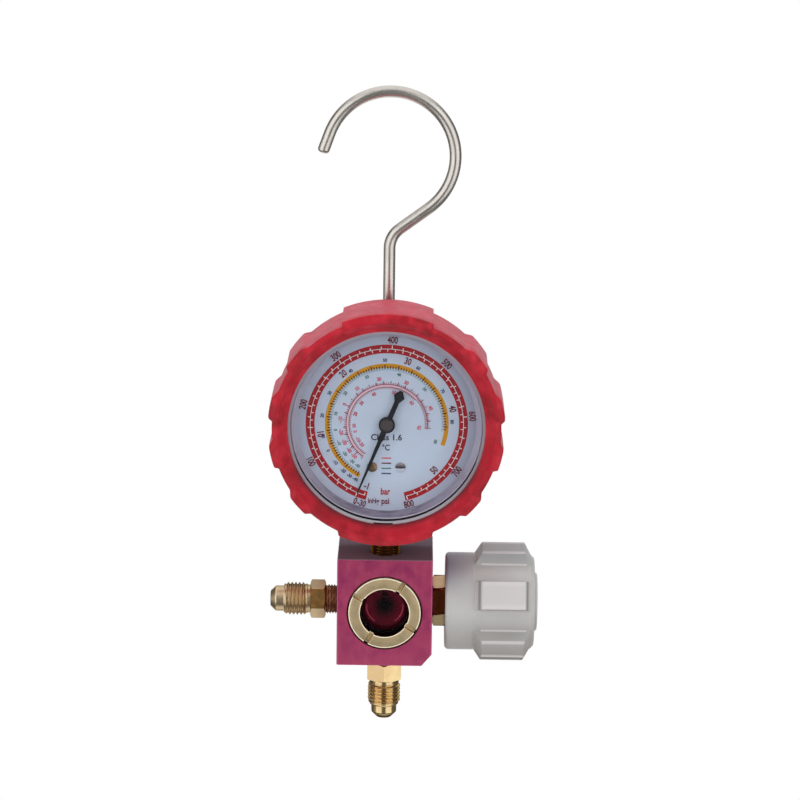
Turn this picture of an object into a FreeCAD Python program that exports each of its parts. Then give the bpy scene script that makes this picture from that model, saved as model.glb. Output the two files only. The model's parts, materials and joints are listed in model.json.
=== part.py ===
import FreeCAD, Part
import math
import os
import re

import Sketcher

# Single gauge manifold. X to the right, Y to the back, Z up, in millimetres.
# The origin is the underside of the hook's crown, on the axis of the hook's shank.

# Driving sizes: name, value in mm (angles in degrees), what it is
SIZES = [
    ("block_width", 32.0, "manifold block, left to right"),
    ("block_depth", 32.0, "manifold block, front to back"),
    ("block_height", 37.0, "manifold block, bottom to top"),
    ("corner_across", 3.4, "cut corner at the lower right, along the bottom"),
    ("corner_up", 4.0, "cut corner at the lower right, up the side"),
    ("edge_round", 0.5, "rounding of the block's outer edges"),
    ("cut_over", 1.0, "how far a cutting outline runs past the solid"),
    ("running_fit", 0.05, "radial play of a shaft in its bore"),
    ("thread_play", 0.05, "radial play of a screwed joint"),
    ("part_gap", 0.3, "space between pieces that move past each other"),
    ("pipe_radius", 5.0, "1/8 inch taper pipe thread"),
    ("pipe_engaged", 6.8, "pipe thread inside the block"),
    ("pipe_shown", 4.2, "pipe thread between block and hexagon"),
    ("port_spare", 0.4, "bore past the end of a pipe thread"),
    ("passage_radius", 2.0, "drilled passage along the block"),
    ("cross_drill_radius", 1.3, "slanted drill, bottom port to valve chamber"),
    ("flare_thread_radius", 5.555, "7/16 inch flare thread"),
    ("flare_thread_length", 8.1, "flare thread, hexagon to nose"),
    ("flare_relief", 0.9, "thread relief beside the hexagon"),
    ("fitting_flats", 11.5, "fitting hexagon across flats"),
    ("fitting_hex_height", 5.1, "fitting hexagon along its axis"),
    ("hex_bevel", 25.0, "angle of the turned ends of a hexagon"),
    ("left_hex_turn", 60.0, "hexagon of the left fitting, round its axis"),
    ("bottom_hex_turn", 30.0, "hexagon of the bottom fitting, round its axis"),
    ("nose_radius", 4.3, "nose of the flare fitting"),
    ("nose_length", 2.8, "straight part of the nose"),
    ("nose_bore", 2.4, "bore of the fitting, a radius"),
    ("nose_edge", 0.1, "flat rim at the mouth of the nose"),
    ("ring_radius", 12.1, "sight glass ring, outside"),
    ("ring_opening", 8.2, "sight glass ring, inside"),
    ("ring_height", 4.0, "sight glass ring along its axis"),
    ("ring_proud", 0.3, "ring in front of the block's face"),
    ("ring_play", 0.3, "radial space round the ring"),
    ("ring_slot_width", 1.6, "tool slot in the ring"),
    ("ring_slot_depth", 1.8, "tool slot in the ring"),
    ("ring_slot_turn", 31.0, "first tool slot, clockwise from the top"),
    ("glass_radius", 10.3, "sight glass"),
    ("glass_height", 3.0, "sight glass along its axis"),
    ("glass_play", 0.2, "radial space round the sight glass"),
    ("sight_oring_radius", 8.6, "centre line of the sight glass O-ring"),
    ("sight_oring_section", 0.8, "radius of the sight glass O-ring's cord"),
    ("oring_play", 0.05, "space round an O-ring in its groove"),
    ("chamber_radius", 6.7, "sight chamber behind the glass"),
    ("chamber_cone", 1.7, "depth of the chamber's conical floor"),
    ("chamber_drill", 1.6, "radius of the drill from chamber to passage"),
    ("gauge_drill", 1.5, "radius of the drill from gauge port to chamber"),
    ("seat_across", 6.0, "valve seat, from the block's middle"),
    ("seat_gap", 0.1, "seat to seat disc when closed"),
    ("valve_chamber_radius", 4.6, "chamber round the seat disc"),
    ("seat_disc_radius", 3.2, "soft seat disc"),
    ("seat_disc_height", 1.6, "soft seat disc"),
    ("seat_disc_sunk", 0.6, "seat disc inside the swivel disc"),
    ("swivel_rim", 0.7, "wall of the swivel disc round the seat disc"),
    ("swivel_height", 2.6, "swivel disc along its axis"),
    ("swivel_socket", 1.0, "depth of the stem's socket in the swivel disc"),
    ("valve_travel", 3.0, "seat disc from closed to open"),
    ("stem_radius", 3.0, "valve stem"),
    ("stem_tip_radius", 1.5, "stem's tip in the swivel disc"),
    ("stem_square", 4.0, "square drive inside the knob"),
    ("stem_oring_section", 0.65, "radius of the stem O-ring's cord"),
    ("stem_oring_first", 2.6, "first stem O-ring from the bonnet's chamber"),
    ("stem_oring_pitch", 3.0, "between the two stem O-rings"),
    ("bonnet_radius", 6.0, "bonnet thread"),
    ("bonnet_engaged", 7.5, "bonnet inside the block"),
    ("bonnet_wall", 1.75, "bonnet wall round the swivel disc"),
    ("bonnet_flats", 15.0, "bonnet hexagon across flats"),
    ("bonnet_hex_height", 6.5, "bonnet hexagon along its axis"),
    ("bonnet_neck_radius", 5.0, "bonnet's end inside the knob"),
    ("bonnet_neck", 3.0, "bonnet's end inside the knob, along its axis"),
    ("bonnet_oring_section", 0.6, "radius of the bonnet O-ring's cord"),
    ("knob_standoff", 4.3, "block face to knob, closed"),
    ("knob_collar_radius", 16.5, "plain collar of the knob"),
    ("knob_collar", 9.8, "plain collar along its axis"),
    ("knob_core_radius", 16.3, "knob between its ribs"),
    ("knob_end_bevel", 1.4, "turned edge at the knob's end"),
    ("knob_length", 30.1, "knob without its cap"),
    ("knob_cavity_radius", 10.5, "hollow over the bonnet"),
    ("knob_cavity", 7.7, "depth of the hollow over the bonnet"),
    ("rib_radius", 20.1, "knob over its ribs"),
    ("rib_width", 10.8, "one rib across its foot"),
    ("rib_top_width", 9.3, "one rib across its top"),
    ("rib_foot_radius", 13.6, "foot of a rib, sunk in the core"),
    ("rib_foot_back", 1.2, "foot of a rib, sunk in the collar"),
    ("rib_foot_step", 0.3, "foot of a rib to the knob's end"),
    ("rib_count", 6, "ribs round the knob"),
    ("rib_rise", 2.6, "slope of a rib beside the collar"),
    ("rib_flat", 14.3, "flat top of a rib"),
    ("rib_round", 0.7, "rounding of a rib's upper edges"),
    ("rib_turn", 22.0, "first rib above the horizontal, towards the front"),
    ("knob_edge", 1.4, "rounding of the knob's collar"),
    ("cap_radius", 10.0, "knob cap"),
    ("cap_height", 1.1, "knob cap outside the knob"),
    ("cap_plug", 4.0, "knob cap inside the knob"),
    ("cap_wall", 1.0, "wall of the cap's plug, and step round it"),
    ("knob_recess", 8.0, "recess for the knob screw"),
    ("knob_screw_radius", 1.5, "knob screw"),
    ("knob_screw_length", 9.0, "knob screw under its head"),
    ("knob_screw_head", 3.0, "head radius of the knob screw"),
    ("knob_screw_head_height", 2.0, "head of the knob screw"),
    ("hook_wire", 2.0, "radius of the hook's wire"),
    ("crown_radius", 21.6, "hook's round part, to the wire's middle"),
    ("crown_end", 70.0, "angle from the crown to the end of the round part"),
    ("tip_length", 6.9, "straight tip of the hook"),
    ("hook_tip_round", 1.2, "rounding of the hook's tip"),
    ("bend_radius", 8.0, "bend above the shank, to the wire's middle"),
    ("bend_gap", 9.3, "lowest point of the crown's circle to the start of the bend"),
    ("shank_clear", 15.9, "boot to the start of the bend"),
    ("hook_gap", 4.2, "boot's back to the shank"),
    ("hook_socket", 12.0, "depth of the hook's bore in the block"),
    ("hook_lift", 0.3, "shank's end above the floor of its bore"),
    ("groove_height", 6.0, "hook's groove, under the block's top"),
    ("groove_width", 3.4, "hook's groove along the shank"),
    ("groove_depth", 0.5, "hook's groove"),
    ("grub_radius", 1.5, "grub screw in the hook's groove"),
    ("grub_tip_gap", 0.15, "grub screw to the groove's floor"),
    ("grub_socket", 0.75, "hexagon socket of the grub screw, centre to flat"),
    ("grub_socket_depth", 1.2, "hexagon socket of the grub screw"),
    ("stem_forward", 6.0, "gauge stem in front of the port axes"),
    ("boot_clearance", 6.7, "block's top to the boot"),
    ("case_radius", 34.5, "gauge case, outside"),
    ("case_wall", 1.0, "gauge case and bezel sheet"),
    ("boot_wall", 2.1, "rubber over the bezel"),
    ("boot_play", 0.1, "rubber to the case and bezel"),
    ("lobe_rise", 1.4, "lobes over the boot's plain surface"),
    ("rim_height", 3.4, "boot's front rim in front of its opening"),
    ("rim_width", 3.6, "opening to the crest of the front rim"),
    ("opening_step", 0.8, "front of the bezel that the boot leaves bare"),
    ("boot_lip", 0.8, "rubber at the edge of the opening"),
    ("boot_round", 1.4, "slope at the boot's outer edges"),
    ("boot_back_lip", 1.8, "rubber behind the case"),
    ("socket_half", 4.1, "half the thickness of the gauge socket"),
    ("socket_width", 16.0, "gauge socket inside the case"),
    ("socket_top", 20.0, "top of the socket, below the gauge axis"),
    ("socket_step", 26.0, "step of the socket, below the gauge axis"),
    ("socket_screw_radius", 1.2, "screw through the case's back into the socket"),
    ("socket_screw_head", 1.9, "head radius of a socket screw"),
    ("socket_screw_clear", 0.76, "head of a socket screw to the boot's back opening"),
    ("socket_screw_head_height", 0.6, "head of a socket screw"),
    ("socket_bore", 1.5, "radius of the bore in the gauge stem"),
    ("wrench_square", 11.0, "square on the gauge stem"),
    ("plate_height", 1.1, "movement plate"),
    ("plate_top", 8.0, "movement plates above the gauge axis"),
    ("plate_half_width", 10.0, "movement plates, half across"),
    ("plate_foot_width", 7.0, "movement plates at the socket, half across"),
    ("plate_foot", 25.0, "lower end of the movement plates"),
    ("post_height", 0.8, "dial posts on the front plate"),
    ("post_radius", 1.6, "dial posts on the front plate"),
    ("dial_height", 0.5, "dial sheet"),
    ("dial_edge", 2.0, "dial sheet to the case's wall"),
    ("dial_hole", 2.0, "dial's centre hole"),
    ("dial_screw_across", 4.7, "dial screws, from the middle"),
    ("dial_screw_down", 14.7, "dial screws, below the gauge axis"),
    ("dial_screw_radius", 0.75, "dial screw"),
    ("dial_screw_head", 1.7, "head radius of a dial screw"),
    ("dial_screw_head_height", 0.5, "head of a dial screw"),
    ("surround_slope", 1.8, "how far the wall round the dial leans out"),
    ("surround_height", 2.7, "dial to the gasket"),
    ("surround_flange", 0.8, "flange on the case's edge"),
    ("gasket_width", 3.0, "window gasket across"),
    ("gasket_height", 1.0, "window gasket"),
    ("window_height", 2.5, "window"),
    ("bezel_lip", 2.7, "bezel over the window, from the case's edge"),
    ("bezel_skirt", 2.6, "bezel behind the case's front edge"),
    ("back_space", 1.7, "rear movement plate to the case's back"),
    ("pointer_rise", 1.8, "middle of the pointer in front of the dial"),
    ("pointer_height", 0.5, "pointer sheet"),
    ("pointer_length", 25.1, "pointer from its axis to its tip"),
    ("pointer_tail", 12.5, "pointer from its axis to its tail"),
    ("pointer_tip_width", 0.5, "pointer at its tip"),
    ("pointer_shoulder", 5.0, "pointer's wide root, from its axis"),
    ("pointer_shoulder_width", 1.3, "pointer past its wide root"),
    ("pointer_root_width", 1.9, "pointer beside its boss"),
    ("pointer_neck_width", 1.6, "pointer's tail before its head"),
    ("pointer_head", 4.0, "arrow head of the tail, along the pointer"),
    ("pointer_head_width", 3.8, "arrow head of the tail, across"),
    ("pointer_zero", 202.3, "pointer at zero, clockwise from the top"),
    ("pointer_hub_radius", 2.1, "cap on the pointer"),
    ("pointer_hub_height", 0.75, "cap on the pointer, along its axis"),
    ("pointer_hub_edge", 0.25, "sloped edge of the cap, along its axis"),
    ("pointer_hub_slope", 0.42, "sloped edge of the cap, across"),
    ("pointer_hub_socket", 0.25, "depth of the cap's bore on the pinion arbor"),
    ("pointer_boss_radius", 2.7, "round part of the pointer"),
    ("pinion_teeth", 9, "teeth of the pinion"),
    ("sector_teeth", 90, "teeth of the full sector wheel"),
    ("gear_module", 0.3, "pitch diameter for one tooth"),
    ("tooth_play", 0.06, "side play of the teeth"),
    ("arbor_radius", 0.8, "pinion arbor between the plates"),
    ("pivot_radius", 0.6, "arbors in the plates"),
    ("pinion_height", 2.5, "pinion along its axis"),
    ("sector_height", 1.2, "sector sheet"),
    ("sector_hub", 2.2, "hub of the sector"),
    ("sector_rim", 2.0, "rim of the sector under its teeth"),
    ("sector_arm", 0.8, "arms of the sector's web, across"),
    ("tail_length", 6.0, "sector's tail, from its axis to the link's pin"),
    ("tail_drop", 22.0, "angle of the tail below the horizontal"),
    ("tail_radius", 1.2, "end of the sector's tail, and of the link"),
    ("tail_width", 1.9, "sector's tail across"),
    ("link_across", 7.4, "link's pin to its upper eye, across"),
    ("link_rise", 8.1, "link's pin to its upper eye, up"),
    ("link_height", 0.8, "link sheet"),
    ("link_pin", 0.5, "radius of the link's pin"),
    ("link_pin_head", 0.95, "head radius of the link's pin"),
    ("pillar_across", 7.5, "movement pillars, from the middle"),
    ("pillar_up", 5.0, "movement pillars, above the gauge axis"),
    ("pillar_radius", 1.2, "movement pillars"),
    ("hairspring_inner", 1.7, "hairspring's inner turn"),
    ("hairspring_outer", 6.4, "hairspring's outer turn"),
    ("hairspring_turns", 4.0, "turns of the hairspring"),
    ("hairspring_strip", 0.2, "thickness of the hairspring's strip"),
    ("hairspring_width", 0.7, "width of the hairspring's strip"),
    ("stud_radius", 0.6, "hairspring's stud"),
    ("collet_radius", 1.35, "hairspring collet on the arbor"),
    ("tube_radius", 24.0, "Bourdon tube, to its middle"),
    ("tube_width", 6.6, "Bourdon tube along the gauge axis"),
    ("tube_thick", 3.0, "Bourdon tube across its flat"),
    ("tube_wall", 0.4, "wall of the Bourdon tube"),
    ("tube_start", 197.0, "root of the tube, clockwise from the top"),
    ("tube_sweep", 268.0, "angle of the tube"),
    ("tip_sweep", 5.0, "angle of the tip piece"),
    ("tip_wall", 0.4, "tip piece outside the tube"),
    ("ear_height", 1.0, "ear of the tip piece"),
]

# Places worked out from the driving sizes
PLACES = [
    ("bezel_opening", "case_radius - bezel_lip"),
    ("opening_radius", "bezel_opening + opening_step"),
    ("gasket_inner", "case_radius - boot_play - gasket_width"),
    ("surround_radius", "gasket_inner - surround_slope"),
    ("dial_radius", "case_radius - case_wall - dial_edge"),
    ("lobe_radius", "case_radius + case_wall + 2 * boot_play + boot_wall + lobe_rise"),
    ("boot_radius", "lobe_radius - lobe_rise"),
    ("plate_front", "-(socket_half + plate_height)"),
    ("dial_back", "plate_front - post_height"),
    ("dial_face", "dial_back - dial_height"),
    ("surround_front", "dial_face - surround_height"),
    ("case_front", "surround_front + surround_flange"),
    ("gasket_front", "surround_front - gasket_height"),
    ("window_front", "gasket_front - window_height"),
    ("bezel_front", "window_front - case_wall"),
    ("lip_back", "bezel_front - boot_play"),
    ("lip_front", "lip_back - boot_lip"),
    ("rim_front", "lip_front - rim_height"),
    ("bezel_back", "case_front + bezel_skirt"),
    ("case_floor", "socket_half + plate_height + back_space"),
    ("case_back", "case_floor + case_wall"),
    ("boot_back", "case_back + boot_play + boot_back_lip"),
    ("hook_back", "boot_back - stem_forward + hook_gap + hook_wire"),
    ("bend_height", "2 * crown_radius - hook_wire + bend_gap"),
    ("shank_rise", "boot_clearance + 2 * lobe_radius + shank_clear + bend_height"),
    ("port_up", "-(block_height / 2 + shank_rise)"),
    ("port_back", "-hook_back"),
    ("gauge_up", "port_up + block_height / 2 + boot_clearance + lobe_radius"),
    ("gauge_back", "port_back - stem_forward"),
    ("block_face", "block_width / 2"),
    ("port_depth", "pipe_engaged + port_spare"),
    ("ring_seat", "block_depth / 2 + ring_proud - ring_height"),
    ("glass_seat", "ring_seat - glass_height"),
    ("groove_half", "sight_oring_section + oring_play"),
    ("chamber_top", "glass_seat - 2 * groove_half"),
    ("chamber_floor", "chamber_top - chamber_cone"),
    ("swivel_radius", "seat_disc_radius + running_fit + swivel_rim"),
    ("seat_disc_start", "seat_across + seat_gap"),
    ("swivel_start", "seat_disc_start + seat_disc_height - seat_disc_sunk"),
    ("swivel_end", "swivel_start + swivel_height"),
    ("bonnet_start", "block_face - bonnet_engaged"),
    ("bonnet_chamber", "swivel_end + valve_travel + part_gap"),
    ("bonnet_shoulder", "block_face + bonnet_hex_height"),
    ("bonnet_end", "bonnet_shoulder + bonnet_neck"),
    ("bonnet_ring", "bonnet_radius + oring_play + bonnet_oring_section"),
    ("knob_start", "block_face + knob_standoff"),
    ("knob_floor", "knob_start + knob_cavity"),
    ("knob_end", "knob_start + knob_length"),
    ("screw_floor", "knob_end - knob_recess"),
    ("plug_radius", "cap_radius - cap_wall"),
    ("centre_distance", "(sector_teeth + pinion_teeth) * gear_module / 2"),
    ("link_front", "sector_height / 2 + part_gap"),
    ("link_back", "link_front + link_height"),
    ("pin_across", "tail_length * cos(tail_drop)"),
    ("pin_down", "centre_distance + tail_length * sin(tail_drop)"),
    ("eye_across", "pin_across + link_across"),
    ("eye_down", "pin_down - link_rise"),
    ("hairspring_back", "-(pinion_height / 2 + 2 * hairspring_width)"),
    ("movement_screw_across", "socket_width / 4"),
    ("movement_screw_down", "(socket_top + plate_foot) / 2"),
    ("socket_bottom", "sqrt((case_radius - case_wall) ^ 2 - (socket_width / 2) ^ 2)"),
    ("socket_screw_down", "(socket_step + socket_bottom) / 2"),
    ("socket_screw_out", "sqrt(socket_screw_down ^ 2 + (socket_width / 4) ^ 2)"),
    ("boot_back_opening", "socket_screw_out + socket_screw_head + socket_screw_clear"),
    ("block_top", "lobe_radius + boot_clearance"),
]

document = FreeCAD.newDocument("single_gauge_manifold")
HOME = {name: "Sizes" for name, number, note in SIZES}
HOME.update({name: "Places" for name, formula in PLACES})


def written(text):
    """Put the sheet's name in front of each size in an expression."""
    return re.sub(r"[a-z_]{2,}", lambda word: named(word.group(0)), str(text))


def named(word):
    return HOME[word] + "." + word if word in HOME else word


def fill_sheets():
    sizes = document.addObject("Spreadsheet::Sheet", "Sizes")
    for row, (name, number, note) in enumerate(SIZES, start=1):
        sizes.set("A%d" % row, name)
        sizes.set("B%d" % row, str(number))
        sizes.set("C%d" % row, note)
        sizes.setAlias("B%d" % row, name)
    document.recompute()
    places = document.addObject("Spreadsheet::Sheet", "Places")
    for row, (name, formula) in enumerate(PLACES, start=1):
        places.set("A%d" % row, name)
        places.set("B%d" % row, "=" + written(formula))
        places.setAlias("B%d" % row, name)
    document.recompute()
    return sizes


sheet = fill_sheets()


def size(text):
    """The present value of an expression."""
    return float(sheet.evalExpression(written(text)))


# Drawing

FRAMES = {
    "hook": ("0", "0"),
    "port": ("port_back", "port_up"),
    "gauge": ("gauge_back", "gauge_up"),
}


def put(part, frame, across="0", turn=(0, 0, 1, 0)):
    """Place a finished part in one of the three frames, turned about an axis."""
    back, up = FRAMES[frame]
    turned = FreeCAD.Rotation(FreeCAD.Vector(*turn[:3]), turn[3])
    part.Placement = FreeCAD.Placement(FreeCAD.Vector(0, 0, 0), turned)
    part.setExpression("Placement.Base.x", written(across))
    part.setExpression("Placement.Base.y", written(back))
    part.setExpression("Placement.Base.z", written(up))


def new_body(label, frame, across="0", turn=(0, 0, 1, 0)):
    body = document.addObject("PartDesign::Body", label)
    body.Label = label
    put(body, frame, across, turn)
    return body


def datum(body, role):
    return [item for item in body.Origin.OriginFeatures if item.Role == role][0]


def new_sketch(body, name, plane, away="0", turn=0):
    """A sketch on an origin plane, moved along the plane's normal and turned about its own X."""
    sketch = body.newObject("Sketcher::SketchObject", name)
    sketch.AttachmentSupport = [(datum(body, plane), "")]
    sketch.MapMode = "FlatFace"
    if turn:
        turned = FreeCAD.Rotation(FreeCAD.Vector(1, 0, 0), turn)
        sketch.AttachmentOffset = FreeCAD.Placement(FreeCAD.Vector(0, 0, 0), turned)
    if away != "0":
        sketch.setExpression("AttachmentOffset.Base.z", written(away))
    return sketch


def hold(sketch, kind, geometry, point, text):
    """Tie one coordinate of a point to an expression."""
    axis_line = -2 if kind == "DistanceX" else -1
    if text == "0":
        sketch.addConstraint(Sketcher.Constraint("PointOnObject", geometry, point, axis_line))
        return
    rule = Sketcher.Constraint(kind, -1, 1, geometry, point, size(text))
    index = sketch.addConstraint(rule)
    sketch.setExpression("Constraints[%d]" % index, written(text))


def add_outline(sketch, corners):
    """Straight edges round a closed outline, each corner held by two expressions."""
    first = sketch.GeometryCount
    places = [FreeCAD.Vector(size(across), size(up), 0) for across, up in corners]
    count = len(corners)
    for index in range(count):
        edge = Part.LineSegment(places[index], places[(index + 1) % count])
        sketch.addGeometry(edge, False)
    for index in range(count):
        following = first + (index + 1) % count
        join = Sketcher.Constraint("Coincident", first + index, 2, following, 1)
        sketch.addConstraint(join)
    for index, (across, up) in enumerate(corners):
        hold(sketch, "DistanceX", first + index, 1, across)
        hold(sketch, "DistanceY", first + index, 1, up)
    return sketch


def add_circle(sketch, across, up, radius):
    centre = FreeCAD.Vector(size(across), size(up), 0)
    circle = Part.Circle(centre, FreeCAD.Vector(0, 0, 1), size(radius))
    index = sketch.addGeometry(circle, False)
    hold(sketch, "DistanceX", index, 3, across)
    hold(sketch, "DistanceY", index, 3, up)
    rule = sketch.addConstraint(Sketcher.Constraint("Radius", index, size(radius)))
    sketch.setExpression("Constraints[%d]" % rule, written(radius))
    return sketch


def add_oval(sketch, up, half_length, radius):
    """A flattened oval with bevelled ends, its long way along the sketch's X."""
    bevel = "(%s) * tan(22.5)" % radius
    side = "%s + %s" % (half_length, radius)
    flat = "%s + %s" % (half_length, bevel)
    return add_outline(sketch, [
        (side, "%s - %s" % (up, bevel)),
        (side, "%s + %s" % (up, bevel)),
        (flat, "%s + %s" % (up, radius)),
        ("-(%s)" % flat, "%s + %s" % (up, radius)),
        ("-(%s)" % side, "%s + %s" % (up, bevel)),
        ("-(%s)" % side, "%s - %s" % (up, bevel)),
        ("-(%s)" % flat, "%s - (%s)" % (up, radius)),
        (flat, "%s - (%s)" % (up, radius)),
    ])


def slab(body, sketch, height, cut=False):
    """Pad or pocket to both sides of the sketch, half the height each way."""
    kind = "PartDesign::Pocket" if cut else "PartDesign::Pad"
    feature = body.newObject(kind, sketch.Name + "_slab")
    feature.Profile = sketch
    feature.SideType = "Symmetric"
    feature.setExpression("Length", written(height))
    return feature


def turn_round(body, sketch, axis, cut=False, angle="360"):
    """Revolve or groove about an origin axis, half the angle each way."""
    kind = "PartDesign::Groove" if cut else "PartDesign::Revolution"
    feature = body.newObject(kind, sketch.Name + "_turned")
    feature.Profile = sketch
    feature.ReferenceAxis = (datum(body, axis), [""])
    feature.Midplane = True
    feature.setExpression("Angle", written(angle))
    return feature


def turned_profile(body, name, corners, axis="X_Axis", plane="XY_Plane", cut=False):
    """A turned form: corners are pairs of a place along the axis and a radius."""
    sketch = add_outline(new_sketch(body, name, plane), corners)
    return turn_round(body, sketch, axis, cut)


def gauge_profile(body, name, corners, cut=False):
    """A form turned about the gauge axis: pairs of depth behind the stem and radius."""
    sketch = add_outline(new_sketch(body, name, "YZ_Plane"), corners)
    return turn_round(body, sketch, "Y_Axis", cut)


def hexagon(body, name, flats, start, height, turn):
    """A hexagonal pad along X; at turn 0 two flats face along Y."""
    sketch = new_sketch(body, name, "YZ_Plane", "%s + (%s) / 2" % (start, height))
    corners = []
    for corner in range(6):
        angle = 30 + turn + 60 * corner
        corners.append(("%s / sqrt(3) * cos(%d)" % (flats, angle),
                        "%s / sqrt(3) * sin(%d)" % (flats, angle)))
    return slab(body, add_outline(sketch, corners), height)


def polar_pattern(body, feature, axis, count):
    pattern = body.newObject("PartDesign::PolarPattern", feature.Name + "_pattern")
    pattern.Originals = [feature]
    pattern.Axis = (datum(body, axis), [""])
    pattern.Angle = 360
    pattern.setExpression("Occurrences", written(count))
    body.Tip = pattern
    return pattern


def round_edges(body, name, radius, wanted):
    """Fillet the edges for which wanted(edge) is true."""
    document.recompute()
    base = body.Tip
    picked = ["Edge%d" % (index + 1) for index, edge in enumerate(base.Shape.Edges)
              if wanted(edge)]
    fillet = body.newObject("PartDesign::Fillet", name)
    fillet.Base = (base, picked)
    fillet.setExpression("Radius", written(radius))
    return fillet


def squeezed(along, radius, section):
    """Section of an O-ring squeezed in its groove: eight flats round a circle."""
    corners = []
    for flat in range(8):
        angle = 22.5 + 45 * flat
        corners.append(("%s + %s * cos(%s) / cos(22.5)" % (along, section, angle),
                        "%s + %s * sin(%s) / cos(22.5)" % (radius, section, angle)))
    return corners


def sight_glass_oring():
    ring = new_body("sight_glass_oring", "port")
    along = "-glass_seat + groove_half"
    gauge_profile(ring, "sight_oring_turning",
                  squeezed(along, "sight_oring_radius", "sight_oring_section"))
    return ring


def bonnet_oring():
    ring = new_body("bonnet_oring", "port")
    along = "block_face - bonnet_oring_section"
    turned_profile(ring, "bonnet_oring_turning",
                   squeezed(along, "bonnet_ring", "bonnet_oring_section"))
    return ring


def formed(label, frame, shape):
    """A piece whose outline only a formula gives."""
    piece = document.addObject("Part::Feature", label)
    piece.Label = label
    piece.Shape = shape
    put(piece, frame)
    return piece


def rod(radius, start, end, across=0.0, up=0.0):
    """A plain cylinder along the gauge axis, from one depth to another."""
    foot = FreeCAD.Vector(across, start, up)
    return Part.makeCylinder(radius, end - start, foot, FreeCAD.Vector(0, 1, 0))


# Block and fittings

def manifold_block():
    block = new_body("manifold_block", "port")
    half = "block_width / 2"
    top = "block_height / 2"
    outline = add_outline(new_sketch(block, "block_outline", "XZ_Plane"), [
        ("-block_width / 2", "-block_height / 2"),
        ("block_width / 2 - corner_across", "-block_height / 2"),
        (half, "corner_up - block_height / 2"),
        (half, top),
        ("-block_width / 2", top),
    ])
    slab(block, outline, "block_depth")
    round_edges(block, "block_edges", "edge_round", lambda edge: True)
    bore = "pipe_radius + thread_play"
    turned_profile(block, "passage", [
        ("-block_face", "0"),
        ("-block_face", bore),
        ("port_depth - block_face", bore),
        ("port_depth - block_face", "passage_radius"),
        ("seat_across", "passage_radius"),
        ("seat_across", "valve_chamber_radius"),
        ("bonnet_start", "valve_chamber_radius"),
        ("bonnet_start", "bonnet_radius"),
        ("block_face - 2 * bonnet_oring_section - oring_play", "bonnet_radius"),
        ("block_face - 2 * bonnet_oring_section - oring_play",
         "bonnet_ring + bonnet_oring_section + oring_play"),
        ("block_face", "bonnet_ring + bonnet_oring_section + oring_play"),
        ("block_face", "0"),
    ], cut=True)
    below = add_outline(new_sketch(block, "bottom_port", "XZ_Plane"), [
        ("0", "-block_height / 2"),
        (bore, "-block_height / 2"),
        (bore, "port_depth - block_height / 2"),
        ("0", "port_depth - block_height / 2"),
    ])
    turn_round(block, below, "Z_Axis", cut=True)
    sight = add_outline(new_sketch(block, "sight_chamber", "YZ_Plane"), [
        ("-block_depth / 2", "0"),
        ("-block_depth / 2", "ring_radius + ring_play"),
        ("-ring_seat", "ring_radius + ring_play"),
        ("-ring_seat", "glass_radius + glass_play"),
        ("-glass_seat", "glass_radius + glass_play"),
        ("-glass_seat", "sight_oring_radius + groove_half"),
        ("-chamber_top", "sight_oring_radius + groove_half"),
        ("-chamber_top", "sight_oring_radius - groove_half"),
        ("-glass_seat", "sight_oring_radius - groove_half"),
        ("-glass_seat", "chamber_radius"),
        ("-chamber_top", "chamber_radius"),
        ("-chamber_floor", "chamber_drill"),
        ("0", "chamber_drill"),
        ("0", "0"),
    ])
    turn_round(block, sight, "Y_Axis", cut=True)
    gauge_port(block, bore)
    hook_bores(block)
    cross_drill(block)
    return block


def drilled(body, name, plane, centre, radius, start, end):
    """A round hole between two places along the plane's normal."""
    middle = "(%s + %s) / 2" % (start, end)
    sketch = new_sketch(body, name, plane, middle)
    add_circle(sketch, centre[0], centre[1], radius)
    return slab(body, sketch, "abs(%s - (%s))" % (start, end), cut=True)


def gauge_port(block, bore):
    """Pipe bore for the gauge stem, and the drill from it into the sight chamber."""
    centre = ("0", "-stem_forward")
    top = "block_height / 2"
    drilled(block, "gauge_port", "XY_Plane", centre, bore, "(%s - port_depth)" % top, top)
    drilled(block, "gauge_drill_hole", "XY_Plane", centre, "gauge_drill",
            "chamber_radius / 2", top)


def hook_bores(block):
    """Upright bore for the hook's shank, and the grub screw's bore from the back."""
    top = "block_height / 2"
    drilled(block, "hook_bore", "XY_Plane", ("0", "hook_back"), "hook_wire + running_fit",
            "(%s - hook_socket)" % top, top)
    drilled(block, "grub_bore", "XZ_Plane", ("0", "%s - groove_height" % top), "grub_radius",
            "-hook_back", "(-block_depth / 2)")


def cross_drill(block):
    """Slanted drill from the bottom port up into the valve chamber."""
    foot_across = size("pipe_radius / 2")
    foot_up = size("port_depth - block_height / 2 - cut_over")
    head_across = size("seat_across + cross_drill_radius")
    head_up = size("cut_over - valve_chamber_radius")
    run = math.hypot(head_across - foot_across, head_up - foot_up)
    slant = math.degrees(math.atan2(head_across - foot_across, head_up - foot_up))
    drill = block.newObject("PartDesign::SubtractiveCylinder", "cross_drill")
    drill.AttachmentSupport = [(datum(block, "XY_Plane"), "")]
    drill.MapMode = "ObjectXY"
    turned = FreeCAD.Rotation(FreeCAD.Vector(0, 1, 0), slant)
    foot = FreeCAD.Vector(foot_across, 0, foot_up)
    drill.AttachmentOffset = FreeCAD.Placement(foot, turned)
    drill.setExpression("Radius", written("cross_drill_radius"))
    drill.Height = run
    return drill


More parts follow.
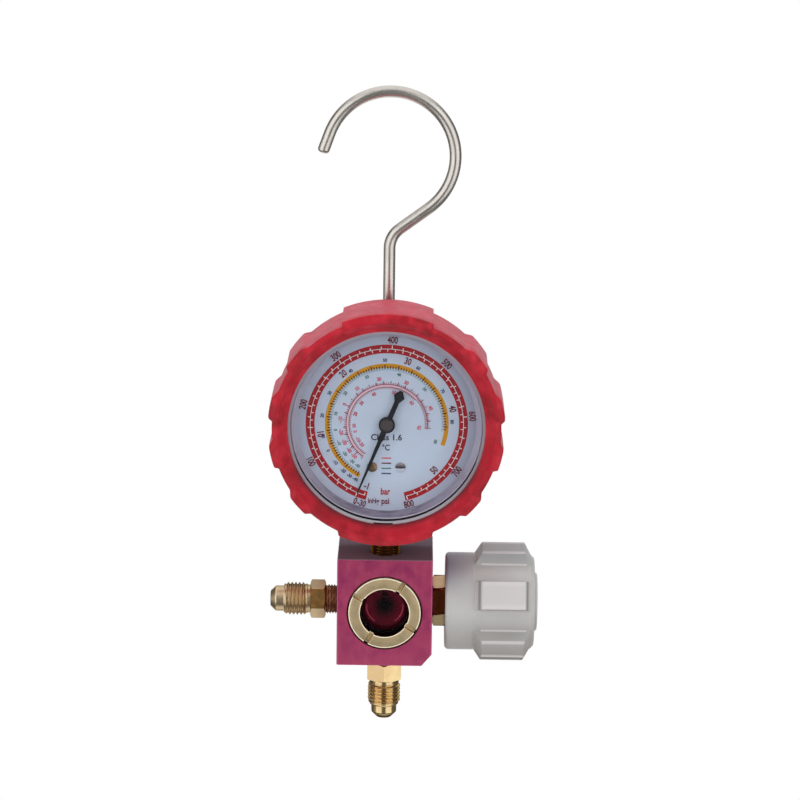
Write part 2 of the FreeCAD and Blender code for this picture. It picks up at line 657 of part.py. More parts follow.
def port_fitting(label, across, turn, hex_turn):
    """A male flare fitting; its own X points out of the block, from the block's face."""
    fitting = new_body(label, "port", across, turn)
    hex_start = "pipe_shown"
    hex_end = "(pipe_shown + fitting_hex_height)"
    thread_start = "(pipe_shown + fitting_hex_height + flare_relief)"
    thread_end = "(pipe_shown + fitting_hex_height + flare_relief + flare_thread_length)"
    nose_end = "(%s + nose_length)" % thread_end
    mouth = "nose_bore + nose_edge"
    turned_profile(fitting, label + "_turning", [
        ("-pipe_engaged", "nose_bore"),
        ("-pipe_engaged", "pipe_radius"),
        (hex_start, "pipe_radius"),
        (hex_end, "pipe_radius"),
        (hex_end, "flare_thread_radius - 2 * nose_edge - flare_relief / 2"),
        (thread_start, "flare_thread_radius - 2 * nose_edge - flare_relief / 2"),
        (thread_start, "flare_thread_radius"),
        (thread_end, "flare_thread_radius"),
        (thread_end, "nose_radius"),
        (nose_end, "nose_radius"),
        ("%s + nose_radius - nose_bore - nose_edge" % nose_end, mouth),
        ("%s + nose_radius - nose_bore - nose_edge" % nose_end, "nose_bore"),
    ])
    hexagon(fitting, label + "_hex", "fitting_flats", hex_start, "fitting_hex_height", hex_turn)
    drill = new_sketch(fitting, label + "_bore", "YZ_Plane",
                       "(pipe_shown + fitting_hex_height / 2)")
    slab(fitting, add_circle(drill, "0", "0", "nose_bore"), "fitting_hex_height", cut=True)
    hex_chamfer(fitting, label, "fitting_flats", hex_start, hex_end)
    return fitting


def hex_chamfer(body, label, flats, start, end):
    """Turn the corners of a hexagon off at both ends."""
    corner = "%s / sqrt(3) + cut_over" % flats
    slope = "(%s - %s / 2) * tan(hex_bevel)" % (corner, flats)
    for name, face, away in (("near", start, "+"), ("far", end, "-")):
        turned_profile(body, "%s_%s_chamfer" % (label, name), [
            (face, "%s / 2" % flats),
            (face, corner),
            ("%s %s %s" % (face, away, slope), corner),
        ], cut=True)


# Sight glass

def sight_glass_ring():
    ring = new_body("sight_glass_ring", "port")
    gauge_profile(ring, "ring_turning", [
        ("-ring_seat", "ring_opening"),
        ("-ring_seat", "ring_radius"),
        ("-ring_seat - ring_height", "ring_radius"),
        ("-ring_seat - ring_height", "ring_opening"),
    ])
    front = "(ring_seat + ring_height)"
    sketch = new_sketch(ring, "ring_slot", "XZ_Plane", "%s - ring_slot_depth / 2" % front)
    corners = [
        ("-ring_slot_width / 2", "ring_opening / 2"),
        ("ring_slot_width / 2", "ring_opening / 2"),
        ("ring_slot_width / 2", "ring_radius + cut_over"),
        ("-ring_slot_width / 2", "ring_radius + cut_over"),
    ]
    slot = slab(ring, add_outline(sketch, corners), "ring_slot_depth", cut=True)
    polar_pattern(ring, slot, "Y_Axis", "4")
    turn_ring = FreeCAD.Rotation(FreeCAD.Vector(0, 1, 0), size("ring_slot_turn"))
    ring.Placement = FreeCAD.Placement(ring.Placement.Base, turn_ring)
    return ring


def sight_glass():
    glass = new_body("sight_glass", "port")
    gauge_profile(glass, "glass_turning", [
        ("-glass_seat", "0"),
        ("-glass_seat", "glass_radius"),
        ("-ring_seat", "glass_radius"),
        ("-ring_seat", "0"),
    ])
    return glass


# Valve

def valve_bonnet():
    bonnet = new_body("valve_bonnet", "port")
    bore = "stem_radius + running_fit"
    chamber = "bonnet_radius - bonnet_wall"
    turned_profile(bonnet, "bonnet_turning", [
        ("bonnet_start", chamber),
        ("bonnet_start", "bonnet_radius - thread_play"),
        ("bonnet_shoulder", "bonnet_radius - thread_play"),
        ("bonnet_shoulder", "bonnet_neck_radius"),
        ("bonnet_end", "bonnet_neck_radius"),
        ("bonnet_end", bore),
        ("bonnet_chamber", bore),
        ("bonnet_chamber", chamber),
    ])
    hexagon(bonnet, "bonnet_hex", "bonnet_flats", "block_face", "bonnet_hex_height", 0)
    middle = "(block_face + bonnet_hex_height / 2)"
    drill = new_sketch(bonnet, "bonnet_bore", "YZ_Plane", middle)
    slab(bonnet, add_circle(drill, "0", "0", bore), "bonnet_hex_height", cut=True)
    hex_chamfer(bonnet, "bonnet", "bonnet_flats", "block_face", "bonnet_shoulder")
    return bonnet


def valve_seat_disc():
    disc = new_body("valve_seat_disc", "port")
    turned_profile(disc, "seat_disc_turning", [
        ("seat_disc_start", "0"),
        ("seat_disc_start", "seat_disc_radius"),
        ("seat_disc_start + seat_disc_height", "seat_disc_radius"),
        ("seat_disc_start + seat_disc_height", "0"),
    ])
    return disc


def swivel_disc():
    disc = new_body("swivel_disc", "port")
    turned_profile(disc, "swivel_turning", [
        ("seat_disc_start + seat_disc_height", "0"),
        ("seat_disc_start + seat_disc_height", "seat_disc_radius + running_fit"),
        ("swivel_start", "seat_disc_radius + running_fit"),
        ("swivel_start", "swivel_radius"),
        ("swivel_end", "swivel_radius"),
        ("swivel_end", "stem_tip_radius + running_fit"),
        ("swivel_end - swivel_socket", "stem_tip_radius + running_fit"),
        ("swivel_end - swivel_socket", "0"),
    ])
    return disc


def valve_stem():
    """Tip in the swivel disc, body with two grooves, square drive, tapped end."""
    stem = new_body("valve_stem", "port", turn=knob_turn())
    floor = "stem_radius - 2 * stem_oring_section - oring_play"
    half = "stem_oring_section + oring_play"
    corners = [
        ("swivel_end - swivel_socket + seat_gap", "0"),
        ("swivel_end - swivel_socket + seat_gap", "stem_tip_radius"),
        ("swivel_end + seat_gap", "stem_tip_radius"),
        ("swivel_end + seat_gap", "stem_radius"),
    ]
    for turn in (0, 1):
        centre = "bonnet_chamber + stem_oring_first + %d * stem_oring_pitch" % turn
        corners += [
            ("%s - (%s)" % (centre, half), "stem_radius"),
            ("%s - (%s)" % (centre, half), floor),
            ("%s + (%s)" % (centre, half), floor),
            ("%s + (%s)" % (centre, half), "stem_radius"),
        ]
    corners += [
        ("knob_floor - seat_gap", "stem_radius"),
        ("knob_floor - seat_gap", "0"),
    ]
    turned_profile(stem, "stem_turning", corners)
    length = "(screw_floor - knob_floor)"
    middle = "(screw_floor + knob_floor) / 2 - seat_gap"
    square = new_sketch(stem, "stem_drive", "YZ_Plane", middle)
    side = "stem_square / 2"
    slab(stem, add_outline(square, square_corners(side)), length)
    end = "(screw_floor - seat_gap)"
    tapped = new_sketch(stem, "stem_tapping", "YZ_Plane", "%s - knob_screw_length / 2" % end)
    add_circle(tapped, "0", "0", "knob_screw_radius + running_fit")
    slab(stem, tapped, "knob_screw_length", cut=True)
    return stem


def knob_turn():
    """The knob and the square in it stand turned by the same angle about the stem."""
    return (1, 0, 0, -size("rib_turn"))


def square_corners(side):
    return [
        ("-(%s)" % side, "-(%s)" % side),
        (side, "-(%s)" % side),
        (side, side),
        ("-(%s)" % side, side),
    ]


def stem_orings():
    """Both stem O-rings, one solid each, in one node."""
    rings = []
    axis = FreeCAD.Vector(1, 0, 0)
    for turn in (0, 1):
        centre = "bonnet_chamber + stem_oring_first + %d * stem_oring_pitch" % turn
        corners = [FreeCAD.Vector(size(along), size(radius), 0) for along, radius in
                   squeezed(centre, "stem_radius - stem_oring_section", "stem_oring_section")]
        face = Part.Face(Part.makePolygon(corners + corners[:1]))
        rings.append(face.revolve(FreeCAD.Vector(0, 0, 0), axis, 360))
    return formed("stem_orings", "port", Part.makeCompound(rings))


# Knob

def knob():
    """Collar, core and six ribs, hollow over the bonnet, recessed for its screw."""
    grip = new_body("knob", "port", turn=knob_turn())
    collar_end = "(knob_start + knob_collar)"
    turned_profile(grip, "knob_core", [
        ("knob_start", "knob_cavity_radius"),
        ("knob_start", "knob_collar_radius"),
        (collar_end, "knob_collar_radius"),
        ("%s + rib_rise / 2" % collar_end, "knob_core_radius"),
        ("knob_end - knob_end_bevel", "knob_core_radius"),
        ("knob_end", "knob_core_radius - knob_end_bevel"),
        ("knob_end", "plug_radius + running_fit"),
        ("screw_floor", "plug_radius + running_fit"),
        ("screw_floor", "0"),
        ("knob_floor", "0"),
        ("knob_floor", "knob_cavity_radius"),
    ])
    round_edges(grip, "collar_round", "knob_edge", at_collar_rim)
    square = new_sketch(grip, "knob_square", "YZ_Plane", "(screw_floor + knob_floor) / 2")
    side = "stem_square / 2 + running_fit"
    slab(grip, add_outline(square, square_corners(side)), "(screw_floor - knob_floor)", cut=True)
    foot = new_sketch(grip, "rib_foot", "XZ_Plane", "rib_foot_radius")
    add_outline(foot, rib_corners("%s - rib_foot_back" % collar_end,
                                  "(knob_end - rib_foot_step)", "rib_width"))
    top = new_sketch(grip, "rib_top", "XZ_Plane", "rib_radius")
    top_start = "(%s + rib_rise)" % collar_end
    add_outline(top, rib_corners(top_start, "%s + rib_flat" % top_start, "rib_top_width"))
    document.recompute()
    rib = grip.newObject("PartDesign::AdditiveLoft", "rib")
    rib.Profile = foot
    rib.Sections = [top]
    rib.Ruled = True
    polar_pattern(grip, rib, "X_Axis", "rib_count")
    round_edges(grip, "rib_edges", "rib_round", at_rib_top)
    return grip


def rib_corners(start, end, width):
    return [
        (start, "-%s / 2" % width),
        (end, "-%s / 2" % width),
        (end, "%s / 2" % width),
        (start, "%s / 2" % width),
    ]


def at_collar_rim(edge):
    """The outer rim of the collar's face towards the block."""
    box = edge.BoundBox
    at_face = box.XMax < size("knob_start + running_fit")
    return at_face and box.ZMax > size("knob_collar_radius - running_fit")


def at_rib_top(edge):
    """The edges round the flat tops of the ribs."""
    reach = min(math.hypot(point.Point.y, point.Point.z) for point in edge.Vertexes)
    return reach > size("rib_radius - running_fit")


def knob_cap():
    cap = new_body("knob_cap", "port")
    turned_profile(cap, "cap_turning", [
        ("knob_end - cap_plug", "plug_radius - cap_wall"),
        ("knob_end - cap_plug", "plug_radius"),
        ("knob_end", "plug_radius"),
        ("knob_end", "cap_radius"),
        ("knob_end + cap_height / 2", "cap_radius"),
        ("knob_end + cap_height", "cap_radius - cap_height / 2"),
        ("knob_end + cap_height", "0"),
        ("knob_end", "0"),
        ("knob_end", "plug_radius - cap_wall"),
    ])
    return cap


def knob_screw():
    screw = new_body("knob_screw", "port")
    turned_profile(screw, "knob_screw_turning", [
        ("screw_floor - knob_screw_length + seat_gap", "0"),
        ("screw_floor - knob_screw_length + seat_gap", "knob_screw_radius"),
        ("screw_floor", "knob_screw_radius"),
        ("screw_floor", "knob_screw_head"),
        ("screw_floor + knob_screw_head_height", "knob_screw_head"),
        ("screw_floor + knob_screw_head_height", "0"),
    ])
    return screw


# Hook

def hook():
    """Shank, bend, slanted run, round crown and straight tip, all tangent, in one wire."""
    wire = new_body("hook", "hook")
    path = new_sketch(wire, "hook_path", "XZ_Plane")
    shank_end = "port_up + block_height / 2 - hook_socket + hook_lift"
    crown_up = "(hook_wire - crown_radius)"
    lean = tangent_lean()
    bend = size("bend_radius")
    crown = size("crown_radius")
    bend_foot = -size("bend_height")
    crown_centre = FreeCAD.Vector(0, size(crown_up), 0)
    bend_centre = FreeCAD.Vector(bend, bend_foot, 0)
    normal = FreeCAD.Vector(0, 0, 1)
    toward = FreeCAD.Vector(math.cos(lean), math.sin(lean), 0)
    crown_last = math.radians(90 + size("crown_end"))
    last = crown_centre + FreeCAD.Vector(math.cos(crown_last), math.sin(crown_last), 0) * crown
    run_out = FreeCAD.Vector(-math.sin(crown_last), math.cos(crown_last), 0)
    foot = FreeCAD.Vector(0, size(shank_end), 0)
    bend_start = FreeCAD.Vector(0, bend_foot, 0)
    geometry = [
        Part.LineSegment(foot, bend_start),
        Part.ArcOfCircle(Part.Circle(bend_centre, normal, bend), math.pi + lean, math.pi),
        Part.LineSegment(bend_centre - toward * bend, crown_centre + toward * crown),
        Part.ArcOfCircle(Part.Circle(crown_centre, normal, crown), lean, crown_last),
        Part.LineSegment(last, last + run_out * size("tip_length")),
    ]
    for edge in geometry:
        path.addGeometry(edge, False)
    path.addConstraint(Sketcher.Constraint("Vertical", 0))
    hold(path, "DistanceX", 0, 1, "0")
    hold(path, "DistanceY", 0, 1, shank_end)
    hold(path, "DistanceY", 0, 2, "-bend_height")
    path.addConstraint(Sketcher.Constraint("Tangent", 0, 2, 1, 2))
    path.addConstraint(Sketcher.Constraint("Tangent", 1, 1, 2, 1))
    path.addConstraint(Sketcher.Constraint("Tangent", 2, 2, 3, 1))
    path.addConstraint(Sketcher.Constraint("Tangent", 3, 2, 4, 1))
    hold(path, "DistanceX", 3, 3, "0")
    hold(path, "DistanceY", 3, 3, crown_up)
    hold(path, "DistanceY", 3, 2, "%s + crown_radius * cos(crown_end)" % crown_up)
    tie_radius(path, 1, "bend_radius")
    tie_radius(path, 3, "crown_radius")
    length = path.addConstraint(Sketcher.Constraint("Distance", 4, size("tip_length")))
    path.setExpression("Constraints[%d]" % length, written("tip_length"))
    section = new_sketch(wire, "hook_section", "XY_Plane", shank_end)
    add_circle(section, "0", "0", "hook_wire")
    pipe = wire.newObject("PartDesign::AdditivePipe", "hook_wire_form")
    pipe.Profile = section
    pipe.Spine = path
    groove = new_sketch(wire, "hook_groove", "XZ_Plane")
    centre = "(port_up + block_height / 2 - groove_height)"
    add_outline(groove, [
        ("hook_wire - groove_depth", "%s - groove_width / 2" % centre),
        ("hook_wire + cut_over", "%s - groove_width / 2" % centre),
        ("hook_wire + cut_over", "%s + groove_width / 2" % centre),
        ("hook_wire - groove_depth", "%s + groove_width / 2" % centre),
    ])
    turn_round(wire, groove, "Z_Axis", cut=True)
    round_edges(wire, "hook_tip", "hook_tip_round", at_hook_tip)
    return wire


def tangent_lean():
    """Direction of the crown's end that the slanted run meets, from +X, in radians."""
    across = size("bend_radius")
    down = -size("bend_height") - size("hook_wire - crown_radius")
    reach = math.hypot(across, down)
    both = size("crown_radius + bend_radius")
    return math.atan2(down, across) + math.acos(both / reach)


def at_hook_tip(edge):
    """The rim of the tip is the only edge left of the crown's middle and short."""
    box = edge.BoundBox
    return box.XMax < 0 and box.DiagonalLength < 3 * size("hook_wire")


def tie_radius(sketch, geometry, text):
    rule = sketch.addConstraint(Sketcher.Constraint("Radius", geometry, size(text)))
    sketch.setExpression("Constraints[%d]" % rule, written(text))


def hook_grub_screw():
    grub = new_body("hook_grub_screw", "port")
    tip = "(hook_back + hook_wire - groove_depth + grub_tip_gap)"
    end = "(block_depth / 2 - edge_round)"
    centre = ("0", "block_height / 2 - groove_height")
    sketch = new_sketch(grub, "grub_outline", "XZ_Plane", "-(%s + %s) / 2" % (tip, end))
    add_circle(sketch, centre[0], centre[1], "grub_radius - thread_play")
    slab(grub, sketch, "(%s - %s)" % (end, tip))
    socket = new_sketch(grub, "grub_key", "XZ_Plane", "grub_socket_depth / 2 - %s" % end)
    corners = []
    for corner in range(6):
        angle = 60 * corner
        corners.append(("grub_socket / cos(30) * cos(%d)" % angle,
                        "%s + grub_socket / cos(30) * sin(%d)" % (centre[1], angle)))
    slab(grub, add_outline(socket, corners), "grub_socket_depth", cut=True)
    return grub


# Gauge housing

LOBES = [(0, 46), (51, 20), (78, 20), (103.5, 17), (131, 18), (180, 50),
         (229, 18), (256.5, 17), (282, 20), (309, 20)]


def gauge_boot():
    """Rubber cup with a dished front rim, raised lobes, and a square hole for the stem."""
    boot = new_body("gauge_boot", "gauge")
    crest = "opening_radius + rim_width"
    bezel = "case_radius + case_wall + 2 * boot_play"
    case = "case_radius + boot_play"
    gauge_profile(boot, "boot_turning", [
        ("lip_front", "opening_radius"),
        ("rim_front", crest),
        ("rim_front + boot_round", "boot_radius"),
        ("boot_back - boot_round", "boot_radius"),
        ("boot_back", "boot_radius - boot_round"),
        ("boot_back", "boot_back_opening"),
        ("case_back + boot_play", "boot_back_opening"),
        ("case_back + boot_play", case),
        ("bezel_back + boot_play", case),
        ("bezel_back + boot_play", bezel),
        ("lip_back", bezel),
        ("lip_back", "opening_radius"),
    ])
    for number, (centre, width) in enumerate(LOBES):
        lobe = new_sketch(boot, "lobe_%d" % number, "YZ_Plane", turn=centre)
        add_outline(lobe, [
            ("(lip_front + rim_front) / 2", "opening_radius + rim_width / 2"),
            ("rim_front - lobe_rise / 2", "%s + lobe_rise / 4" % crest),
            ("rim_front + boot_round - lobe_rise / 2", "lobe_radius"),
            ("boot_back - boot_round", "lobe_radius"),
            ("boot_back - boot_round / 4", "boot_radius - boot_round / 2"),
            ("boot_back - 1.5 * boot_round", "boot_radius - boot_wall / 2"),
            ("lip_front", "boot_radius - boot_wall / 2"),
        ])
        turn_round(boot, lobe, "Y_Axis", angle=str(width))
    stem = new_sketch(boot, "stem_hole", "XY_Plane", "-lobe_radius + boot_wall")
    side = "wrench_square / 2 + 2 * boot_play"
    slab(boot, add_outline(stem, square_corners(side)), "6 * boot_wall", cut=True)
    return boot


def gauge_case():
    case = new_body("gauge_case", "gauge")
    inside = "case_radius - case_wall"
    gauge_profile(case, "case_turning", [
        ("case_front", inside),
        ("case_front", "case_radius"),
        ("case_back", "case_radius"),
        ("case_back", "0"),
        ("case_floor", "0"),
        ("case_floor", inside),
    ])
    stem = new_sketch(case, "case_stem_hole", "XY_Plane", "-case_radius + case_wall")
    side = "wrench_square / 2 + boot_play / 2"
    slab(case, add_outline(stem, square_corners(side)), "6 * case_wall", cut=True)
    screws = new_sketch(case, "case_screw_holes", "XZ_Plane", "-(case_floor + case_wall / 2)")
    for side in ("", "-"):
        add_circle(screws, side + "socket_width / 4", socket_screw_up(), "socket_screw_radius")
    slab(case, screws, "2 * case_wall", cut=True)
    return case


def socket_screw_up():
    return "-socket_screw_down"


def gauge_bezel():
    bezel = new_body("gauge_bezel", "gauge")
    inside = "case_radius + boot_play"
    gauge_profile(bezel, "bezel_turning", [
        ("bezel_front", "bezel_opening"),
        ("bezel_front", "case_radius"),
        ("bezel_front + case_wall", "%s + case_wall" % inside),
        ("bezel_back", "%s + case_wall" % inside),
        ("bezel_back", inside),
        ("window_front", inside),
        ("window_front", "bezel_opening"),
    ])
    return bezel


def gauge_window():
    window = new_body("gauge_window", "gauge")
    gauge_profile(window, "window_turning", [
        ("window_front", "0"),
        ("window_front", "case_radius - boot_play"),
        ("gasket_front", "case_radius - boot_play"),
        ("gasket_front", "0"),
    ])
    return window


def window_gasket():
    gasket = new_body("window_gasket", "gauge")
    gauge_profile(gasket, "gasket_turning", [
        ("gasket_front", "gasket_inner"),
        ("gasket_front", "case_radius - boot_play"),
        ("surround_front", "case_radius - boot_play"),
        ("surround_front", "gasket_inner"),
    ])
    return gasket


def dial_surround():
    """Sloping wall from the dial out to the window, hung on the case's front edge."""
    wall = new_body("dial_surround", "gauge")
    gauge_profile(wall, "surround_turning", [
        ("dial_face", "surround_radius"),
        ("surround_front", "gasket_inner"),
        ("surround_front", "case_radius - boot_play"),
        ("case_front", "case_radius - boot_play"),
        ("case_front", "gasket_inner + surround_flange"),
        ("dial_face", "surround_radius + surround_flange"),
    ])
    return wall


def dial_plate():
    dial = new_body("dial_plate", "gauge")
    sketch = new_sketch(dial, "dial_outline", "XZ_Plane", "-(dial_face + dial_back) / 2")
    add_circle(sketch, "0", "0", "dial_radius")
    add_circle(sketch, "0", "0", "dial_hole")
    for side in ("", "-"):
        add_circle(sketch, side + "dial_screw_across", "-dial_screw_down",
                   "dial_screw_radius + running_fit")
    slab(dial, sketch, "dial_height")
    return dial


# Gauge movement

def gauge_socket():
    """Block in the case, square neck through the boot, pipe thread into the manifold."""
    socket = new_body("gauge_socket", "gauge")
    side = "socket_width / 2"
    outline = new_sketch(socket, "socket_upper", "XZ_Plane")
    add_outline(outline, [
        ("-(%s)" % side, "-socket_bottom"),
        (side, "-socket_bottom"),
        (side, "-socket_top"),
        ("-(%s)" % side, "-socket_top"),
    ])
    slab(socket, outline, "2 * socket_half")
    back = new_sketch(socket, "socket_lower", "XZ_Plane", "-case_floor / 2")
    add_outline(back, [
        ("-(%s)" % side, "-socket_bottom"),
        (side, "-socket_bottom"),
        (side, "-socket_step"),
        ("-(%s)" % side, "-socket_step"),
    ])
    slab(socket, back, "case_floor")
    neck = new_sketch(socket, "socket_neck", "XY_Plane", "-(socket_bottom + lobe_radius) / 2")
    slab(socket, add_outline(neck, square_corners("wrench_square / 2")),
         "(lobe_radius - socket_bottom)")
    thread_end = "(block_top + pipe_engaged)"
    thread = new_sketch(socket, "socket_thread", "XY_Plane",
                        "-(lobe_radius + %s) / 2" % thread_end)
    slab(socket, add_circle(thread, "0", "0", "pipe_radius"), "(%s - lobe_radius)" % thread_end)
    drilled(socket, "socket_bore_hole", "XY_Plane", ("0", "0"), "socket_bore",
            "-%s" % thread_end, "-movement_screw_down")
    slot = new_sketch(socket, "tube_slot", "YZ_Plane", turn=socket_slot_angle())
    add_oval(slot, "tube_radius", "(tube_width - tube_thick) / 2", "tube_thick / 2 + running_fit")
    turn_round(socket, slot, "Y_Axis", cut=True, angle=str(2 * SLOT_HALF))
    drilled(socket, "socket_cross_bore", "YZ_Plane", ("0", "-movement_screw_down"), "socket_bore",
            "-socket_width / 4", "0")
    for front, name in ((1, "front"), (-1, "rear")):
        taps = new_sketch(socket, "movement_taps_" + name, "XZ_Plane",
                          "%d * (socket_half - socket_half / 3)" % front)
        for side in ("", "-"):
            add_circle(taps, side + "movement_screw_across", "-movement_screw_down",
                       "dial_screw_radius + running_fit")
        slab(socket, taps, "socket_half * 2 / 3", cut=True)
    back_taps = new_sketch(socket, "socket_taps", "XZ_Plane", "-case_floor * 3 / 4")
    for side in ("", "-"):
        add_circle(back_taps, side + "socket_width / 4", socket_screw_up(),
                   "socket_screw_radius")
    slab(socket, back_taps, "case_floor / 2", cut=True)
    return socket


SLOT_HALF = 5


def socket_slot_angle():
    """The slot runs from the tube's root to the socket's left side and past it."""
    return size("tube_start") + SLOT_HALF


def bourdon_tube():
    """Flattened tube bent to an arc about the gauge axis."""
    tube = new_body("bourdon_tube", "gauge")
    middle = size("tube_start + tube_sweep / 2")
    sketch = new_sketch(tube, "tube_section", "YZ_Plane", turn=middle)
    reach = "(tube_width - tube_thick) / 2"
    add_oval(sketch, "tube_radius", reach, "tube_thick / 2")
    add_oval(sketch, "tube_radius", reach, "tube_thick / 2 - tube_wall")
    turn_round(tube, sketch, "Y_Axis", angle="tube_sweep")
    return tube


def tube_tip():
    """Plug on the tube's free end, with a flat ear that carries the link."""
    tip = new_body("tube_tip", "gauge")
    middle = size("tube_start + tube_sweep + tip_sweep / 2")
    sketch = new_sketch(tip, "tip_section", "YZ_Plane", turn=middle)
    add_oval(sketch, "tube_radius", "(tube_width - tube_thick) / 2", "tube_thick / 2 + tip_wall")
    turn_round(tip, sketch, "Y_Axis", angle="tip_sweep")
    turned = math.radians(middle)
    end_across = "%.9f * tube_radius" % math.sin(turned)
    end_up = "%.9f * tube_radius" % math.cos(turned)
    ear = new_sketch(tip, "ear_outline", "XZ_Plane", "-(link_back + part_gap + ear_height / 2)")
    add_outline(ear, [
        ("eye_across - tail_radius", "-eye_down"),
        ("eye_across", "-eye_down - tail_radius"),
        (end_across, "%s - tail_radius / 2" % end_up),
        (end_across, "%s + tail_radius / 4" % end_up),
        ("eye_across", "-eye_down + tail_radius"),
    ])
    slab(tip, ear, "ear_height")
    return tip


def movement_plate(label, front):
    """One movement plate; front is 1 for the front plate and -1 for the rear one."""
    plate = new_body(label, "gauge")
    middle = "%d * (socket_half + plate_height / 2)" % front
    sketch = new_sketch(plate, label + "_outline", "XZ_Plane", middle)
    add_outline(sketch, [
        ("-plate_half_width", "plate_top"),
        ("plate_half_width", "plate_top"),
        ("plate_half_width", "-plate_half_width / 2"),
        ("plate_foot_width", "-centre_distance"),
        ("plate_foot_width", "-plate_foot"),
        ("-plate_foot_width", "-plate_foot"),
        ("-plate_foot_width", "-centre_distance"),
        ("-plate_half_width", "-plate_half_width / 2"),
    ])
    add_circle(sketch, "0", "0", "pivot_radius + running_fit")
    add_circle(sketch, "0", "-centre_distance", "pivot_radius + running_fit")
    for side in ("", "-"):
        add_circle(sketch, side + "movement_screw_across", "-movement_screw_down",
                   "dial_screw_radius + running_fit")
    slab(plate, sketch, "plate_height")
    if front > 0:
        posts = new_sketch(plate, "dial_posts", "XZ_Plane", "-(dial_back + plate_front) / 2")
        for side in ("", "-"):
            add_circle(posts, side + "dial_screw_across", "-dial_screw_down", "post_radius")
        slab(plate, posts, "post_height")
        taps = new_sketch(plate, "dial_taps", "XZ_Plane", "-dial_back - post_height")
        for side in ("", "-"):
            add_circle(taps, side + "dial_screw_across", "-dial_screw_down",
                       "dial_screw_radius + running_fit")
        slab(plate, taps, "2 * post_height", cut=True)
    return plate


def screw_solid(radius, head, seat, head_height, length, across, up):
    """A cheese-head screw along the gauge axis; a negative length points to the front."""
    way = 1 if length > 0 else -1
    shank = rod(radius, min(seat, seat + length), max(seat, seat + length), across, up)
    top = seat - way * head_height
    cap = rod(head, min(seat, top), max(seat, top), across, up)
    return shank.fuse(cap).removeSplitter()


def screws(label, places, radius, head, head_height):
    """Several like screws in one node: (across, up, seat, length) for each."""
    solids = [screw_solid(size(radius), size(head), seat, size(head_height), length, across, up)
              for across, up, seat, length in places]
    return formed(label, "gauge", Part.makeCompound(solids))


def dial_screws():
    down = -size("dial_screw_down")
    seat = size("dial_face")
    length = size("dial_height + 1.5 * post_height")
    across = size("dial_screw_across")
    places = [(side * across, down, seat, length) for side in (-1, 1)]
    return screws("dial_screws", places, "dial_screw_radius", "dial_screw_head",
                  "dial_screw_head_height")


def movement_screws():
    across = size("movement_screw_across")
    down = -size("movement_screw_down")
    seat = size("socket_half + plate_height")
    length = size("plate_height + socket_half / 2")
    places = [(side * across, down, -way * seat, way * length)
              for side in (-1, 1) for way in (1, -1)]
    return screws("movement_screws", places, "dial_screw_radius", "dial_screw_head",
                  "dial_screw_head_height")


def socket_screws():
    across = size("socket_width / 4")
    up = size(socket_screw_up())
    places = [(side * across, up, size("case_back"), -size("case_wall + case_floor / 3"))
              for side in (-1, 1)]
    return screws("socket_screws", places, "socket_screw_radius - running_fit",
                  "socket_screw_head", "socket_screw_head_height")


def movement_pillars():
    reach = size("socket_half")
    across = size("pillar_across")
    up = size("pillar_up")
    solids = [rod(size("pillar_radius"), -reach, reach, side * across, up) for side in (-1, 1)]
    return formed("movement_pillars", "gauge", Part.makeCompound(solids))


def involute(angle):
    return math.tan(angle) - angle


PRESSURE_ANGLE = math.radians(20)

# Tooth heights in modules: below the pitch line, and above it on the stubbed sector
DEDENDUM = 1.25
SECTOR_ADDENDUM = 0.7


def tooth_points(teeth, centre, tip, root, play):
    """One tooth's flanks, left root to right root, at an angle clockwise from the top."""
    pitch = teeth * size("gear_module") / 2
    base = pitch * math.cos(PRESSURE_ANGLE)
    half = math.pi / (2 * teeth) - play / (2 * pitch)
    flank = []
    for step in range(4):
        radius = root + (tip - root) * step / 3
        worn = math.acos(min(1.0, base / radius))
        flank.append((radius, half + involute(PRESSURE_ANGLE) - involute(worn)))
    left = [(radius, centre - away) for radius, away in flank]
    right = [(radius, centre + away) for radius, away in reversed(flank)]
    return left + right


def polar(radius, clockwise):
    """A point in the gauge's plane, by radius and angle clockwise from the top."""
    return FreeCAD.Vector(radius * math.sin(clockwise), 0, radius * math.cos(clockwise))


def plate_of(points, start, height):
    """A flat plate from an outline in the gauge's plane, from one depth over a height."""
    closed = points + [points[0]]
    face = Part.Face(Part.makePolygon(closed))
    face.translate(FreeCAD.Vector(0, start, 0))
    return face.extrude(FreeCAD.Vector(0, height, 0))


def pinion_arbor():
    """Shaft with the pinion and the hairspring's collet; it carries the pointer."""
    teeth = int(size("pinion_teeth"))
    module = size("gear_module")
    pitch = teeth * module / 2
    points = []
    for tooth in range(teeth):
        centre = math.pi + (tooth + 0.5) * 2 * math.pi / teeth
        points += tooth_points(teeth, centre, pitch + module, pitch - DEDENDUM * module,
                               size("tooth_play"))
    outline = [polar(radius, clockwise) for radius, clockwise in points]
    height = size("pinion_height")
    shape = plate_of(outline, -height / 2, height)
    inner = size("socket_half") - size("part_gap")
    shape = shape.fuse(rod(size("arbor_radius"), -inner, inner))
    front = size("dial_face - pointer_rise - pointer_height")
    shape = shape.fuse(rod(size("pivot_radius"), front, size("socket_half + plate_height")))
    collet = rod(size("collet_radius"), size("hairspring_back - hairspring_width"),
                 size("hairspring_back + hairspring_width"))
    return formed("pinion_arbor", "gauge", shape.fuse(collet).removeSplitter())


SECTOR_TEETH_LEFT = 2
SECTOR_TEETH_RIGHT = 10

# Points on each turn of the hairspring
SPIRAL_STEPS = 24


